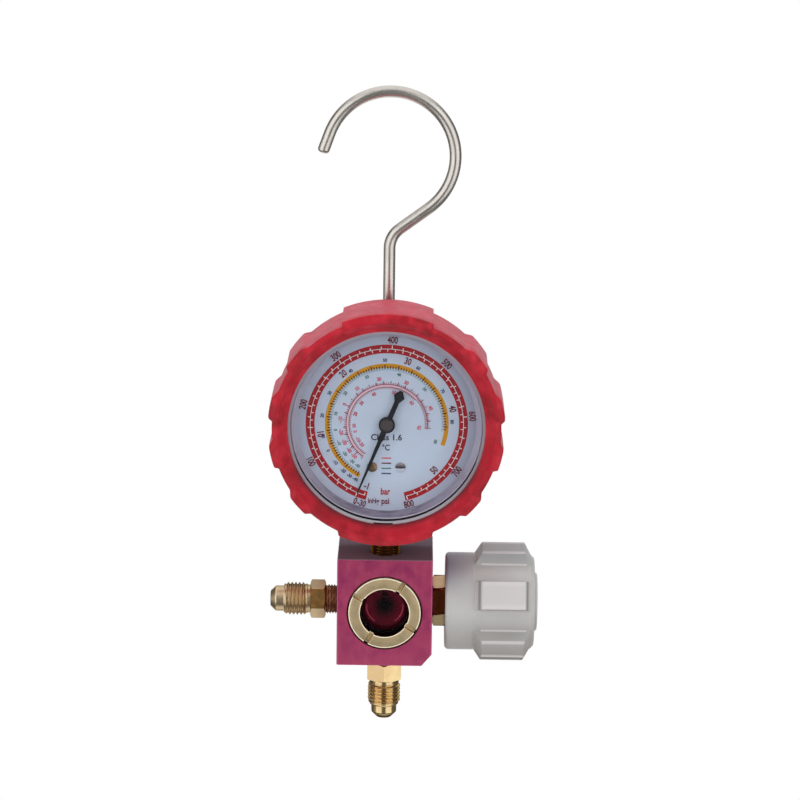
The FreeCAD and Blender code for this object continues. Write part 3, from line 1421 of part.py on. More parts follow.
def sector_gear():
    """Toothed sector on its arbor, with a window in its web and a tail for the link."""
    teeth = int(size("sector_teeth"))
    module = size("gear_module")
    pitch = teeth * module / 2
    root = pitch - DEDENDUM * module
    inner = root - size("sector_rim")
    step = 2 * math.pi / teeth
    first = -(SECTOR_TEETH_LEFT + 0.5) * step
    last = (SECTOR_TEETH_RIGHT + 0.5) * step
    hub = size("sector_hub")
    core = size("arbor_radius")
    points = [polar(core, first), polar(root, first)]
    for tooth in range(-SECTOR_TEETH_LEFT, SECTOR_TEETH_RIGHT + 1):
        flank = tooth_points(teeth, tooth * step, pitch + SECTOR_ADDENDUM * module, root,
                             size("tooth_play"))
        points += [polar(radius, clockwise) for radius, clockwise in flank]
    points += [polar(root, last), polar(core, last)]
    height = size("sector_height")
    shape = plate_of(points, -height / 2, height)
    near_end = 2 * hub
    near_edge = 2 * size("sector_arm") / near_end
    far_edge = 2 * size("sector_arm") / inner
    window = [polar(near_end, first + near_edge), polar(inner, first + far_edge),
              polar(inner, (first + last) / 2), polar(inner, last - far_edge),
              polar(near_end, last - near_edge)]
    shape = shape.cut(plate_of(window, -height, 2 * height))
    shape = shape.fuse(rod(hub, -height / 2, height / 2))
    shape = shape.fuse(tail_plate(height))
    inner_reach = size("socket_half") - size("part_gap")
    shape = shape.fuse(rod(size("arbor_radius"), -inner_reach, inner_reach))
    reach = size("socket_half + plate_height")
    shape = shape.fuse(rod(size("pivot_radius"), -reach, reach))
    shape.translate(FreeCAD.Vector(0, 0, -size("centre_distance")))
    return formed("sector_gear", "gauge", shape.removeSplitter())


def tail_plate(height):
    """The sector's tail, from its hub to the hole for the link's pin."""
    length = size("tail_length")
    end = size("tail_radius")
    width = size("tail_width")
    bar = Part.makeBox(length, height, width, FreeCAD.Vector(0, -height / 2, -width / 2))
    bar = bar.fuse(rod(end, -height / 2, height / 2, length))
    bar = bar.cut(rod(size("link_pin + running_fit"), -height, height, length))
    bar.rotate(FreeCAD.Vector(0, 0, 0), FreeCAD.Vector(0, 1, 0), size("tail_drop"))
    return bar


def link():
    """Strip with an eye at each end, behind the sector."""
    across = size("pin_across")
    up = -size("pin_down")
    length = math.hypot(size("link_across"), size("link_rise"))
    slope = math.degrees(math.atan2(size("link_rise"), size("link_across")))
    height = size("link_height")
    end = size("tail_radius")
    start = size("link_front")
    strip = Part.makeBox(length, height, end, FreeCAD.Vector(0, start, -end / 2))
    for place in (0, length):
        strip = strip.fuse(rod(end, start, start + height, place))
    for place in (0, length):
        strip = strip.cut(rod(size("link_pin"), 0, start + 2 * height, place))
    strip.rotate(FreeCAD.Vector(0, 0, 0), FreeCAD.Vector(0, 1, 0), -slope)
    strip.translate(FreeCAD.Vector(across, 0, up))
    return formed("link", "gauge", strip.removeSplitter())


def link_screw():
    """Shouldered pin through the link and the sector's tail."""
    across = size("pin_across")
    up = -size("pin_down")
    head = size("link_pin_head")
    front = -size("sector_height / 2 + part_gap")
    back = size("link_back")
    pin = rod(size("link_pin"), front, back, across, up)
    pin = pin.fuse(rod(head, front - size("link_height") / 2, front, across, up))
    pin = pin.fuse(rod(head, back, back + size("link_height") / 2, across, up))
    return formed("link_screw", "gauge", pin.removeSplitter())


def hairspring():
    """Flat spiral strip from the collet to the stud."""
    turns = size("hairspring_turns")
    inner = size("hairspring_inner")
    outer = size("hairspring_outer")
    thick = size("hairspring_strip")
    steps = int(turns * SPIRAL_STEPS)
    inside = []
    outside = []
    for step in range(steps + 1):
        share = step / steps
        radius = inner + (outer - inner) * share
        angle = 2 * math.pi * turns * share
        inside.append(polar(radius - thick / 2, angle))
        outside.append(polar(radius + thick / 2, angle))
    outline = inside + outside[::-1]
    face = Part.Face(Part.makePolygon(outline + outline[:1]))
    width = size("hairspring_width")
    face.translate(FreeCAD.Vector(0, size("hairspring_back") - width / 2, 0))
    return formed("hairspring", "gauge", face.extrude(FreeCAD.Vector(0, width, 0)))


def hairspring_stud():
    """Post on the front plate that the spring's outer end is pinned to."""
    thick = size("stud_radius")
    radius = size("hairspring_outer + hairspring_strip / 2") + thick
    back = size("hairspring_back + hairspring_width / 2")
    stud = rod(thick, -size("socket_half"), back, 0, radius)
    return formed("hairspring_stud", "gauge", stud)


# Pointer

def pointer():
    """Tapered hand with a round boss and an arrow-headed tail."""
    turn = (0, 1, 0, size("pointer_zero"))
    hand = new_body("pointer", "gauge", turn=turn)
    middle = "-(dial_face - pointer_rise)"
    sketch = new_sketch(hand, "hand_outline", "XZ_Plane", middle)
    right = [
        ("pointer_tip_width / 2", "pointer_length"),
        ("pointer_shoulder_width / 2", "pointer_shoulder + pointer_root_width / 2"),
        ("pointer_root_width / 2", "pointer_shoulder"),
        ("pointer_neck_width / 2", "-(pointer_tail - pointer_head)"),
        ("pointer_head_width / 2", "-(pointer_tail - pointer_head / 2)"),
        ("pointer_tip_width", "-pointer_tail"),
    ]
    left = [("-" + across, up) for across, up in reversed(right)]
    add_outline(sketch, right + left)
    slab(hand, sketch, "pointer_height")
    boss = new_sketch(hand, "hand_boss", "XZ_Plane", middle + " - pointer_height / 2")
    slab(hand, add_circle(boss, "0", "0", "pointer_boss_radius"), "2 * pointer_height")
    bore = new_sketch(hand, "hand_bore", "XZ_Plane", middle)
    slab(hand, add_circle(bore, "0", "0", "pivot_radius"), "4 * pointer_height", cut=True)
    return hand


def pointer_hub():
    hub = new_body("pointer_hub", "gauge")
    back = "dial_face - pointer_rise - pointer_height / 2"
    gauge_profile(hub, "hub_turning", [
        (back, "pivot_radius"),
        (back, "pointer_hub_radius"),
        ("%s - pointer_hub_height + pointer_hub_edge" % back, "pointer_hub_radius"),
        ("%s - pointer_hub_height" % back, "pointer_hub_radius - pointer_hub_slope"),
        ("%s - pointer_hub_height" % back, "0"),
        ("%s - pointer_hub_socket" % back, "0"),
        ("%s - pointer_hub_socket" % back, "pivot_radius"),
    ])
    return hub


def build():
    """Every sub-part, in the order in which it is assembled."""
    parts = [
        manifold_block(),
        port_fitting("left_port_fitting", "-block_face", (0, 0, 1, 180), size("left_hex_turn")),
        port_fitting("bottom_port_fitting", "0", (0, 1, 0, 90), size("bottom_hex_turn")),
        sight_glass_oring(),
        sight_glass(),
        sight_glass_ring(),
        bonnet_oring(),
        valve_bonnet(),
        valve_seat_disc(),
        swivel_disc(),
        valve_stem(),
        stem_orings(),
        knob(),
        knob_screw(),
        knob_cap(),
        hook(),
        hook_grub_screw(),
        gauge_socket(),
        gauge_case(),
        socket_screws(),
        bourdon_tube(),
        tube_tip(),
        movement_plate("movement_front_plate", 1),
        movement_plate("movement_back_plate", -1),
        movement_pillars(),
        movement_screws(),
        pinion_arbor(),
        sector_gear(),
        link(),
        link_screw(),
        hairspring(),
        hairspring_stud(),
        dial_plate(),
        dial_screws(),
        pointer(),
        pointer_hub(),
        dial_surround(),
        window_gasket(),
        gauge_window(),
        gauge_bezel(),
        gauge_boot(),
    ]
    fitting = document.getObject("bottom_port_fitting")
    fitting.setExpression("Placement.Base.z", written("port_up - block_height / 2"))
    return parts


def check(parts):
    document.recompute()
    for item in document.Objects:
        if "Invalid" in item.State or "Error" in item.State:
            raise RuntimeError("%s failed: %s" % (item.Name, item.State))
    for part in parts:
        shape = part.Shape
        if shape.isNull() or not shape.isValid() or not shape.Solids:
            raise RuntimeError("%s has no valid solid" % part.Label)


def main():
    parts = build()
    check(parts)
    os.makedirs("parts", exist_ok=True)
    for part in parts:
        part.Shape.exportStep("parts/%s.step" % part.Label)
    print("%d parts written" % len(parts))


main()
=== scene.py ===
"""Looks of the single gauge manifold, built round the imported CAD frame."""
import json
import math

import bmesh
import bpy
import numpy as np
from mathutils import Matrix, Vector

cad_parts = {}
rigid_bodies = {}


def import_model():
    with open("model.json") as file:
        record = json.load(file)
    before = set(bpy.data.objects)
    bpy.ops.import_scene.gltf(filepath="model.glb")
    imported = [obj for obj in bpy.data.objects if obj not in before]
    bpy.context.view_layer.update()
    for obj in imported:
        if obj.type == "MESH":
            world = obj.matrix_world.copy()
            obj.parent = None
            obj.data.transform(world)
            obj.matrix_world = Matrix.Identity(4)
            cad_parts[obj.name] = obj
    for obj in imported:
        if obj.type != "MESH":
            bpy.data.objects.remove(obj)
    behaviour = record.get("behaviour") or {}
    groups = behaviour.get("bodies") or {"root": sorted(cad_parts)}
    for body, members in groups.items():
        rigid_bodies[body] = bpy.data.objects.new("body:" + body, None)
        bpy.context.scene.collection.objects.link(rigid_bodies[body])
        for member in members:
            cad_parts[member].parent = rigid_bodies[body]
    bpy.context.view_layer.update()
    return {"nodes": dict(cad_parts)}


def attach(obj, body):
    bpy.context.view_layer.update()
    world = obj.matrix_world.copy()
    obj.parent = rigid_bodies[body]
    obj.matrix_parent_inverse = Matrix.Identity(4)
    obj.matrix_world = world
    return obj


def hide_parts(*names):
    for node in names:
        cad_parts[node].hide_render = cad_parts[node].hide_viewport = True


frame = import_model()
nodes = frame["nodes"]

MM = 0.001

# Places of the CAD, in millimetres
PORT_AXIS = (0.0, -10.0, -170.0)
GAUGE_AXIS = (0.0, -16.0, -105.6)
DIAL_FACE = -22.5
BLOCK_HALF = 16.0
BLOCK_TOP = -151.5
BLOCK_BOTTOM = -188.5
BLOCK_RISE = (BLOCK_TOP - BLOCK_BOTTOM) / 2
GAUGE_MIDDLE = (GAUGE_AXIS[0], GAUGE_AXIS[2])
PORT_MIDDLE = (PORT_AXIS[0], PORT_AXIS[2])
SCREW_HEIGHT = GAUGE_AXIS[2] - 14.7

# How far the knob's first rib stands above the front, in degrees
RIB_ANGLE = 22

# How far the hexagons that lie along X are screwed round, so that a flat faces the camera
LEFT_TURN = math.radians(16.5)
BONNET_TURN = math.radians(13.5)


# Colours

def linear(red, green, blue):
    """A colour written as 0 to 255 on screen, as the shader wants it."""
    parts = []
    for level in (red, green, blue):
        level = level / 255
        parts.append(level / 12.92 if level < 0.04045 else ((level + 0.055) / 1.055) ** 2.4)
    return (*parts, 1.0)


# Node trees

def operator(operation):
    """The method behind an operator: it adds a math node."""
    return lambda self, other: self.owner.sum(operation, self, other)


class Flow:
    """A value in a node tree; sums with it become nodes."""

    def __init__(self, owner, socket):
        self.owner = owner
        self.socket = socket

    __add__ = operator("ADD")
    __sub__ = operator("SUBTRACT")
    __mul__ = operator("MULTIPLY")
    __truediv__ = operator("DIVIDE")
    __gt__ = operator("GREATER_THAN")
    __lt__ = operator("LESS_THAN")

    def __rsub__(self, other):
        return self.owner.sum("SUBTRACT", other, self)


class Tree:
    """A node tree that grows by calls."""

    def __init__(self, tree):
        self.tree = tree

    def add(self, kind, inputs=None, **settings):
        node = self.tree.nodes.new(kind)
        for name, value in settings.items():
            setattr(node, name, value)
        for name, value in (inputs or {}).items():
            self.feed(node.inputs[name], value)
        return node

    def out(self, kind, output, inputs=None, **settings):
        """One output of a new node."""
        return Flow(self, self.add(kind, inputs, **settings).outputs[output])

    def feed(self, socket, value):
        if isinstance(value, Flow):
            value = value.socket
        if isinstance(value, bpy.types.NodeSocket):
            self.tree.links.new(value, socket)
        else:
            socket.default_value = value

    def sum(self, operation, *values, clamp=False):
        return self.out("ShaderNodeMath", 0, dict(enumerate(values)), operation=operation,
                        use_clamp=clamp)

    def split(self, vector):
        """The three parts of a vector."""
        node = self.add("ShaderNodeSeparateXYZ", {"Vector": vector})
        return [Flow(self, node.outputs[axis]) for axis in "XYZ"]

    def spread(self, source, low, high, start=0.3, end=0.7, **settings):
        """A value from low to high between two levels of the source."""
        return self.out("ShaderNodeMapRange", "Result", {
            "Value": source, "From Min": start, "From Max": end, "To Min": low, "To Max": high,
        }, **settings)


# Materials

class Finish(Tree):
    """One procedural material: a Principled shader and the nodes that feed it."""

    def __init__(self, name, colour, **values):
        self.material = bpy.data.materials.new(name)
        self.material.use_nodes = True
        super().__init__(self.material.node_tree)
        self.shader = self.tree.nodes["Principled BSDF"]
        self.colour = linear(*colour)
        self.put(Base_Color=self.colour, **values)
        self.place = self.add("ShaderNodeTexCoord").outputs["Object"]
        self.height = None

    def put(self, **values):
        for name, value in values.items():
            self.feed(self.shader.inputs[name.replace("_", " ")], value)
        return self

    def grain(self, size, detail=3.0, stretch=(1, 1, 1)):
        """Noise whose grain is about size millimetres, drawn out by stretch."""
        drawn = self.out("ShaderNodeMapping", "Vector", {
            "Vector": self.place, "Scale": [1000.0 / size / s for s in stretch],
        })
        return self.out("ShaderNodeTexNoise", "Fac", {
            "Vector": drawn, "Scale": 1.0, "Detail": detail, "Roughness": 0.55,
        })

    def tint(self, source, other, amount=1.0):
        """Let the colour run towards another where source is high."""
        colour = self.shader.inputs["Base Color"]
        self.put(Base_Color=self.out("ShaderNodeMix", "Result", {
            "Factor": source * amount if amount != 1.0 else source,
            "A": colour.links[0].from_socket if colour.is_linked else self.colour,
            "B": linear(*other),
        }, data_type="RGBA"))

    def mottle(self, size, amount, other, start=0.3, end=0.7, **settings):
        """Let another colour show in patches of about size millimetres."""
        self.tint(self.spread(self.grain(size, **settings), 0, amount, start, end), other)

    def wear(self, size, low, high, detail=3.0):
        self.put(Roughness=self.spread(self.grain(size, detail), low, high))

    def bump(self, size, depth, **settings):
        """Relief of about depth millimetres."""
        inputs = {"Strength": 1.0, "Distance": depth * MM, "Height": self.grain(size, **settings)}
        if self.height is not None:
            inputs["Normal"] = self.height
        self.height = self.out("ShaderNodeBump", "Normal", inputs)
        self.put(Normal=self.height)

    def spots(self):
        """The three coordinates of the place, in millimetres."""
        scaled = self.out("ShaderNodeVectorMath", "Vector",
                          {"Vector": self.place, "Scale": 1 / MM}, operation="SCALE")
        return self.split(scaled)

    def zone(self, source, low, high, soft):
        """One where source lies between low and high."""
        return (self.spread(source, 0, 1, low - soft, low)
                * self.spread(source, 1, 0, high, high + soft))

    def reach(self, first, second, middle):
        """Distance from an axis, given the two coordinates across it."""
        first, second = first - middle[0], second - middle[1]
        return self.sum("SQRT", first * first + second * second)


def let_through(finish, rays):
    """Let one kind of ray pass as if nothing were there."""
    both = finish.out("ShaderNodeMixShader", "Shader", {
        "Fac": finish.add("ShaderNodeLightPath").outputs[rays],
        1: finish.shader.outputs["BSDF"],
        2: finish.add("ShaderNodeBsdfTransparent").outputs["BSDF"],
    })
    finish.feed(finish.tree.nodes["Material Output"].inputs["Surface"], both)


def boot_rubber():
    made = Finish("red_boot_rubber", (176, 15, 36), Specular_IOR_Level=0.3)
    made.mottle(10, 0.9, (144, 9, 27), 0.42, 0.64)
    made.mottle(4.5, 0.65, (200, 36, 56), 0.46, 0.68, stretch=(1, 2, 1))
    across, deep, up = made.spots()
    away = made.reach(across, up, GAUGE_MIDDLE)
    # painted sheen: the outer surfaces lighter and pinker, standing in for the top light's
    # glancing reflection
    outside = made.spread(away, 0, 0.5, 37.0, 37.7) * made.spread(deep, 0, 1, -32.6, -31.4)
    made.tint(outside, (190, 58, 86))
    # painted shade: the inner lip of the lower half darkened
    low = made.spread(up, 1, 0, GAUGE_AXIS[2] - 16, GAUGE_AXIS[2] - 6)
    made.tint(made.spread(away, 0.8, 0, 32.8, 34.0) * low, (84, 8, 22))
    made.wear(3.0, 0.44, 0.58)
    made.bump(0.35, 0.01, detail=2)
    made.bump(4.0, 0.05)
    made.put(Sheen_Weight=0.1, Sheen_Roughness=0.35)
    return made.material


def brass(name, along, tone=(214, 188, 152), rough=(0.16, 0.26), tarnish=(186, 152, 116)):
    """Turned brass: fine rings round the axis along, and a little tarnish."""
    made = Finish(name, tone, Metallic=1.0)
    rings = [1.0 if axis == along else 40.0 for axis in "xyz"]
    made.mottle(4.5, 0.5, tarnish, detail=2)
    made.wear(2.1, *rough)
    made.bump(0.5, 0.0006, detail=1, stretch=rings)
    made.put(Specular_Tint=(0.35, 0.3, 0.25, 1))
    return made


def ring_finish():
    """The sight ring: satin face, painted highlights on its outer and inner edges, and painted
    shade in its bore, where it sees only the chamber.
    """
    made = brass("ring_turned_brass", "y", (236, 214, 172), (0.42, 0.54), (210, 186, 144))
    across, _, up = made.spots()
    away = made.reach(across, up, PORT_MIDDLE)
    # painted highlight along the outer edge
    made.tint(made.spread(away, 0, 1, 11.7, 11.85), (255, 244, 214))
    # painted highlight along the inner edge
    inner = made.zone(away, 8.3, 8.55, 0.1)
    made.tint(inner, (255, 240, 208), 0.8)
    # painted shade inside the bore
    made.tint(away < 8.3, (52, 14, 20))
    # the painted highlights turn from metal to pale paint, so they stay bright under any light
    edges = made.sum("MAXIMUM", inner, made.spread(away, 0, 1, 11.75, 11.9))
    return made.put(Metallic=1.0 - edges).material


def ahead_of_port(deep, up, turn):
    """How far a place is from the port axis, along a way that points to the front and up."""
    return (PORT_AXIS[1] - deep) * math.cos(turn) + (up - PORT_AXIS[2]) * math.sin(turn)


def bonnet_finish():
    """Brass between the block and the knob, with a painted highlight on its upper flats and a
    painted dark reflection on its front flat.
    """
    made = brass("bonnet_brass", "x", (176, 158, 128), (0.24, 0.34), (150, 128, 98))
    _, deep, up = made.spots()
    # painted highlight: the upper flats lighter, as if reflecting the top light
    made.tint(up > PORT_AXIS[2] + 5.9, (196, 164, 132))
    # painted reflection: the front flat dark brown, as if mirroring the dim room in front
    made.tint(ahead_of_port(deep, up, BONNET_TURN) > 7.42, (130, 66, 36))
    return made.material


def left_finish():
    """Rough brass, darker brown on top, and darker and redder towards the block."""
    made = brass("left_dull_brass", "x", (220, 198, 162), (0.26, 0.38), (196, 168, 130))
    across, _, up = made.spots()
    made.tint(made.spread(up, 0, 0.8, -165.6, -165.0), (160, 138, 114))
    made.tint(made.spread(across, 0, 0.6, -23.5, -17), (126, 62, 44))
    nut = made.zone(across, -25.4, -20.1, 0.05) * made.zone(up, -171.5, -165.25, 0.05)
    made.tint(nut, (184, 140, 84))
    return made.material


def bottom_finish():
    """Golden brass, dark at its end, with painted shade on the left of its top, under the block.
    """
    made = brass("bottom_golden_brass", "z", (232, 206, 154), (0.14, 0.22), (208, 172, 120))
    across, _, up = made.spots()
    made.tint(made.spread(up, 0.9, 0, -210.6, -209.0), (58, 50, 56))
    # painted shade: the left of the top darker, under the block
    made.tint((across < 0.0) * (up > -198.0), (196, 166, 124), 0.7)
    return made.material


def metal(name, tone, other, rough, grain=0.5, stretch=(1, 1, 1), depth=0.004):
    made = Finish(name, tone, Metallic=1.0)
    made.mottle(grain, 0.5, other, detail=2, stretch=stretch)
    made.wear(grain * 4, *rough)
    if depth:
        made.bump(grain, depth, detail=2, stretch=stretch)
    return made.material


def anodised():
    """Dyed aluminium: mottled, paler towards the bottom and where its edges are rubbed, with
    painted shade on the top face, round the sight ring and in the chamber, and painted glints in
    the chamber.
    """
    made = Finish("anodised_magenta", (178, 62, 104))
    made.mottle(5.5, 0.8, (152, 42, 96), 0.42, 0.66)
    made.mottle(2.2, 0.4, (190, 84, 118), 0.45, 0.7, stretch=(1, 1, 2))
    spots = made.spots()
    across, deep, up = spots
    made.tint(made.spread(up, 0.4, 0, BLOCK_BOTTOM + 1, BLOCK_BOTTOM + 12), (192, 82, 118))
    rims = [made.spread(made.sum("ABSOLUTE", spot - middle), 0, 1, half - 0.55, half - 0.05)
            for spot, middle, half in zip(spots, PORT_AXIS, (BLOCK_HALF, BLOCK_HALF, BLOCK_RISE))]
    edge = made.spread(rims[0] + rims[1] + rims[2], 0, 0.5, 1.25, 1.8)
    made.tint(edge, (206, 120, 158))
    # painted shade: the top face under the boot darkened to grey-purple
    top = up > BLOCK_TOP - 0.2
    made.tint(top, (121, 114, 123), 0.95)
    away = made.reach(across, up, PORT_MIDDLE)
    front = deep < 4.0
    # painted shadow: a dark red line round the sight ring's gap
    made.tint(front * (away < 12.75), (70, 6, 20))
    # painted shade: the chamber walls deep magenta, darkest at the centre
    shaded_chamber = front * (away < 8.9) * (deep > -25.5)
    made.tint(shaded_chamber, (112, 10, 40))
    made.tint(shaded_chamber * made.spread(away, 1, 0, 2.2, 5.0), (34, 6, 12))
    # painted glints: two thin pink arcs low left and right in the chamber
    painted_glints = made.zone(across, -6.2, -3.0, 0.4) + made.zone(across, 3.6, 6.2, 0.4)
    painted_glints = painted_glints * made.zone(away, 6.0, 6.25, 0.15) * made.zone(up, -174.8, -169.6, 0.6)
    made.tint(painted_glints * front, (214, 84, 104), 0.8)
    # no gloss on the top face and in the chamber, so their painted shade stays dark
    outside = (1.0 - shaded_chamber) * (1.0 - top)
    made.put(Metallic=outside * 0.45, Specular_IOR_Level=outside * 0.5)
    made.wear(1.7, 0.36, 0.5, 4)
    made.bump(0.3, 0.003)
    return made.material


def moulded(name, tone, other, rough=(0.36, 0.5), relief=0.006):
    made = Finish(name, tone)
    made.mottle(7, 0.5, other)
    made.wear(2.2, *rough)
    made.bump(0.45, relief, detail=2)
    return made


def knob_finish():
    """Cast and sprayed, with painted light: shade on the underside, bluish shade on the top and
    on the side by the block, highlights on the rib edges and feet, and on the front rib a pale
    painted highlight outlined with painted shade.
    """
    made = moulded("knob_satin", (190, 189, 187), (178, 177, 175), (0.36, 0.48))
    across, deep, up = made.put(Specular_IOR_Level=0.4).spots()
    away = made.reach(deep, up, PORT_AXIS[1:])
    rise = up - PORT_AXIS[2]
    ahead = ahead_of_port(deep, up, math.radians(RIB_ANGLE))
    # painted shade: darker towards the underside
    made.tint(made.spread(rise, 0.8, 0, -16.5, 1.0), (118, 112, 106))
    # painted shade: bluish dark towards the top
    made.tint(made.spread(rise, 0, 0.5, 12.5, 19.5), (112, 114, 122))
    # painted shade: bluish dark on the side facing the block, over its magenta bounce light
    corner = made.spread(across, 0.4, 0, 22.5, 31.0) * made.spread(rise, 0, 1, 5.0, 13.0)
    made.tint(corner, (84, 98, 134))
    # painted highlight: bright lines along the ribs' feet
    painted_foot_glints = made.zone(away, 16.5, 16.9, 0.15) * made.zone(across, 32.5, 47.5, 0.3)
    made.tint(painted_foot_glints * (ahead < 14.5), (224, 220, 219), 0.7)
    # painted highlight: the ribs' outer corners lighter
    made.tint(made.spread(away, 0, 0.5, 20.15, 20.3), (222, 220, 220))
    # painted shade: a dark outline round the front rib's face
    made.tint(made.zone(ahead, 17.9, 18.9, 0.5), (104, 100, 102), 0.6)
    # painted highlight: the front rib's face lighter
    made.tint(made.spread(ahead, 0, 0.6, 19.2, 19.4), (206, 201, 200))
    return made.material


def dial_wall():
    """The wall round the dial: pale above, grey-violet and streaked below."""
    made = moulded("surround_satin", (180, 176, 192), (166, 162, 180), (0.3, 0.42))
    low = made.spread(made.spots()[2], 1, 0, -134.5, -112)
    made.tint(low, (132, 122, 142), 0.85)
    streaks = made.spread(made.grain(1.2, detail=2, stretch=(5, 1, 5)), 0, 0.6, 0.45, 0.7)
    made.tint(streaks * low, (60, 54, 72))
    return made.material


def gasket_finish():
    """The black ring behind the window, painted pale round the top and sides where it is lit,
    black where it shows along the bottom.
    """
    # painted light: the pale base colour lightens the ring; its own black is kept only along the
    # bottom
    made = moulded("gasket_ring", (232, 225, 238), (220, 213, 228), (0.45, 0.6))
    across, _, up = made.put(Specular_IOR_Level=0.2).spots()
    away = made.reach(across, up, GAUGE_MIDDLE)
    low = made.spread(up, 1, 0, GAUGE_AXIS[2] - 13, GAUGE_AXIS[2] - 9)
    made.tint(low * made.spread(away, 0, 1, 31.55, 31.65), (22, 16, 24))
    return made.material


def bezel_finish():
    """Bright rim, with painted shade along the top and painted shade for a notch at the bottom,
    next to the boot.
    """
    made = Finish("bezel_bright", (208, 205, 213), Metallic=0.55)
    made.mottle(0.5, 0.5, (200, 200, 206))
    across, _, up = made.spots()
    away = made.reach(across, up, GAUGE_MIDDLE)
    # painted shade: darker and more violet along the top
    dull = made.spread(up, 0, 0.85, GAUGE_AXIS[2] - 29, GAUGE_AXIS[2] - 18)
    made.tint(dull, (176, 164, 178))
    # painted shade: a dark mark at the bottom next to the boot
    notch = made.zone(across, -3.8, 2.3, 0.3) * made.spread(away, 0, 1, 32.1, 32.25)
    made.tint(notch * (up < GAUGE_AXIS[2] - 25), (44, 18, 26))
    made.wear(2.0, 0.4, 0.5)
    made.bump(0.5, 0.003)
    return made.material


def moon_screw():
    """A polished domed head with a painted reflection: a dark room over it, the pale dial below.
    """
    made = Finish("screw_polished", (206, 214, 226), Metallic=0.3)
    up = made.spots()[2]
    # painted reflection: the upper half dark, its top greyer, the lower half left pale
    made.tint(made.spread(up, 0, 1, SCREW_HEIGHT - 0.35, SCREW_HEIGHT - 0.15), (60, 52, 56))
    made.tint(made.spread(up, 0, 0.9, SCREW_HEIGHT + 0.3, SCREW_HEIGHT + 1.5),
              (168, 160, 162))
    made.wear(1.0, 0.26, 0.36)
    return made.material


def ink(name, tone, other):
    """Printing ink: slightly uneven."""
    made = Finish(name, tone, Specular_IOR_Level=0.08)
    made.mottle(0.6, 0.4, other)
    made.wear(0.4, 0.42, 0.6)
    return made.material


def dial_enamel():
    made = Finish("dial_enamel", (204, 216, 234), Specular_IOR_Level=0.15)
    made.mottle(6, 0.4, (194, 207, 226))
    across, _, up = made.spots()
    away = made.reach(across, up, GAUGE_MIDDLE)
    # painted shade: the dial darkens towards its rim, under the boot and bezel
    made.tint(made.spread(away, 0, 0.6, 19, 30.5), (170, 168, 186))
    # painted shade: deeper on the right of the rim
    side = made.spread(away, 0, 0.5, 24, 31) * made.spread(across, 0, 1, 8, 26)
    made.tint(side, (126, 122, 140))
    made.wear(1.2, 0.4, 0.55)
    made.bump(0.4, 0.002)
    return made.material


def glass(name, tone, bend):
    made = Finish(name, tone, Roughness=0.0, Transmission_Weight=1.0, IOR=bend)
    made.bump(30, 0.01, detail=1)
    let_through(made, "Is Shadow Ray")
    return made.material


looks = {
    "boot_rubber": boot_rubber(),
    "brass": brass("turned_brass", "x").material,
    "bronze": metal("tube_bronze", (176, 120, 74), (140, 88, 50), (0.3, 0.42)),
    "dial_print": dial_enamel(),
    "steel": metal("zinc_steel", (168, 166, 160), (130, 128, 124), (0.28, 0.4)),
    "surround_grey": dial_wall(),
    "bezel_steel": bezel_finish(),
    "clear_window": glass("clear_window_glass", (246, 248, 250), 1.45),
    "steel_wire": metal("drawn_wire", (216, 211, 204), (196, 190, 183), (0.26, 0.34), 1.5,
                        (1, 1, 4), 0.0),
    "knob_grey": knob_finish(),
    "anodised_block": anodised(),
    "pointer_black": moulded("pointer_enamel", (18, 19, 28), (24, 25, 36), (0.5, 0.62), 0.002)
    .put(Specular_IOR_Level=0.1).material,
    "sight_glass": glass("sight_glass_clear", (240, 232, 236), 1.25),
    "seal_rubber": moulded("seal_black_rubber", (24, 23, 26), (40, 38, 42), (0.45, 0.6))
    .put(Specular_IOR_Level=0.2).material,
    "seat_plastic": moulded("seat_white_plastic", (226, 224, 216), (205, 203, 196)).material,
}
left_brass = left_finish()
port_brass = bottom_finish()
stem_brass = brass("stem_dull_brass", "z", (150, 116, 70), (0.24, 0.36), (96, 64, 32)).material
hub_metal = brass("hub_dull_brass", "y", (88, 81, 82), (0.4, 0.55), (74, 66, 68)).material
bronze_screw = brass("screw_bronze", "y", (138, 110, 84), (0.24, 0.36), (98, 74, 52)).material
inks = {
    "red": ink("ink_dark_red", (176, 20, 32), (160, 14, 26)),
    "numerals": ink("ink_numeral_red", (112, 10, 30), (98, 8, 26)),
    "white": ink("ink_white", (240, 238, 240), (228, 226, 230)),
    "black": ink("ink_black", (24, 18, 20), (36, 28, 30)),
    "orange": ink("ink_orange", (216, 150, 30), (202, 138, 26)),
    "pink": ink("ink_pink", (214, 92, 112), (204, 84, 104)),
    "rose": ink("ink_rose", (160, 48, 72), (148, 42, 66)),
    "blush": ink("ink_blush", (226, 196, 208), (218, 188, 200)),
    "blue": ink("ink_blue_grey", (52, 66, 112), (64, 78, 124)),
    "green": ink("ink_green_grey", (86, 126, 118), (98, 138, 128)),
}

for name, node in nodes.items():
    for slot in node.material_slots:
        slot.material = looks[slot.material.name.split(".")[0]]
for name, material in (
        ("sight_glass_ring", ring_finish()), ("pointer_hub", hub_metal),
        ("bottom_port_fitting", port_brass), ("left_port_fitting", left_brass),
        ("gauge_socket", stem_brass), ("valve_bonnet", bonnet_finish()),
        ("window_gasket", gasket_finish())):
    nodes[name].material_slots[0].material = material


# Meshes

# Edges sharper than this stay sharp, in degrees
SHARP_EDGE = 32.0


def placed(name, data):
    """A new object in the scene."""
    piece = bpy.data.objects.new(name, data)
    bpy.context.scene.collection.objects.link(piece)
    return piece


def new_piece(name, points, faces, material, smooth):
    """A mesh object from points in millimetres."""
    mesh = bpy.data.meshes.new(name)
    mesh.from_pydata([Vector(p) * MM for p in points], [], faces)
    mesh.materials.append(material)
    tidy_mesh(mesh, smooth)
    return placed(name, mesh)


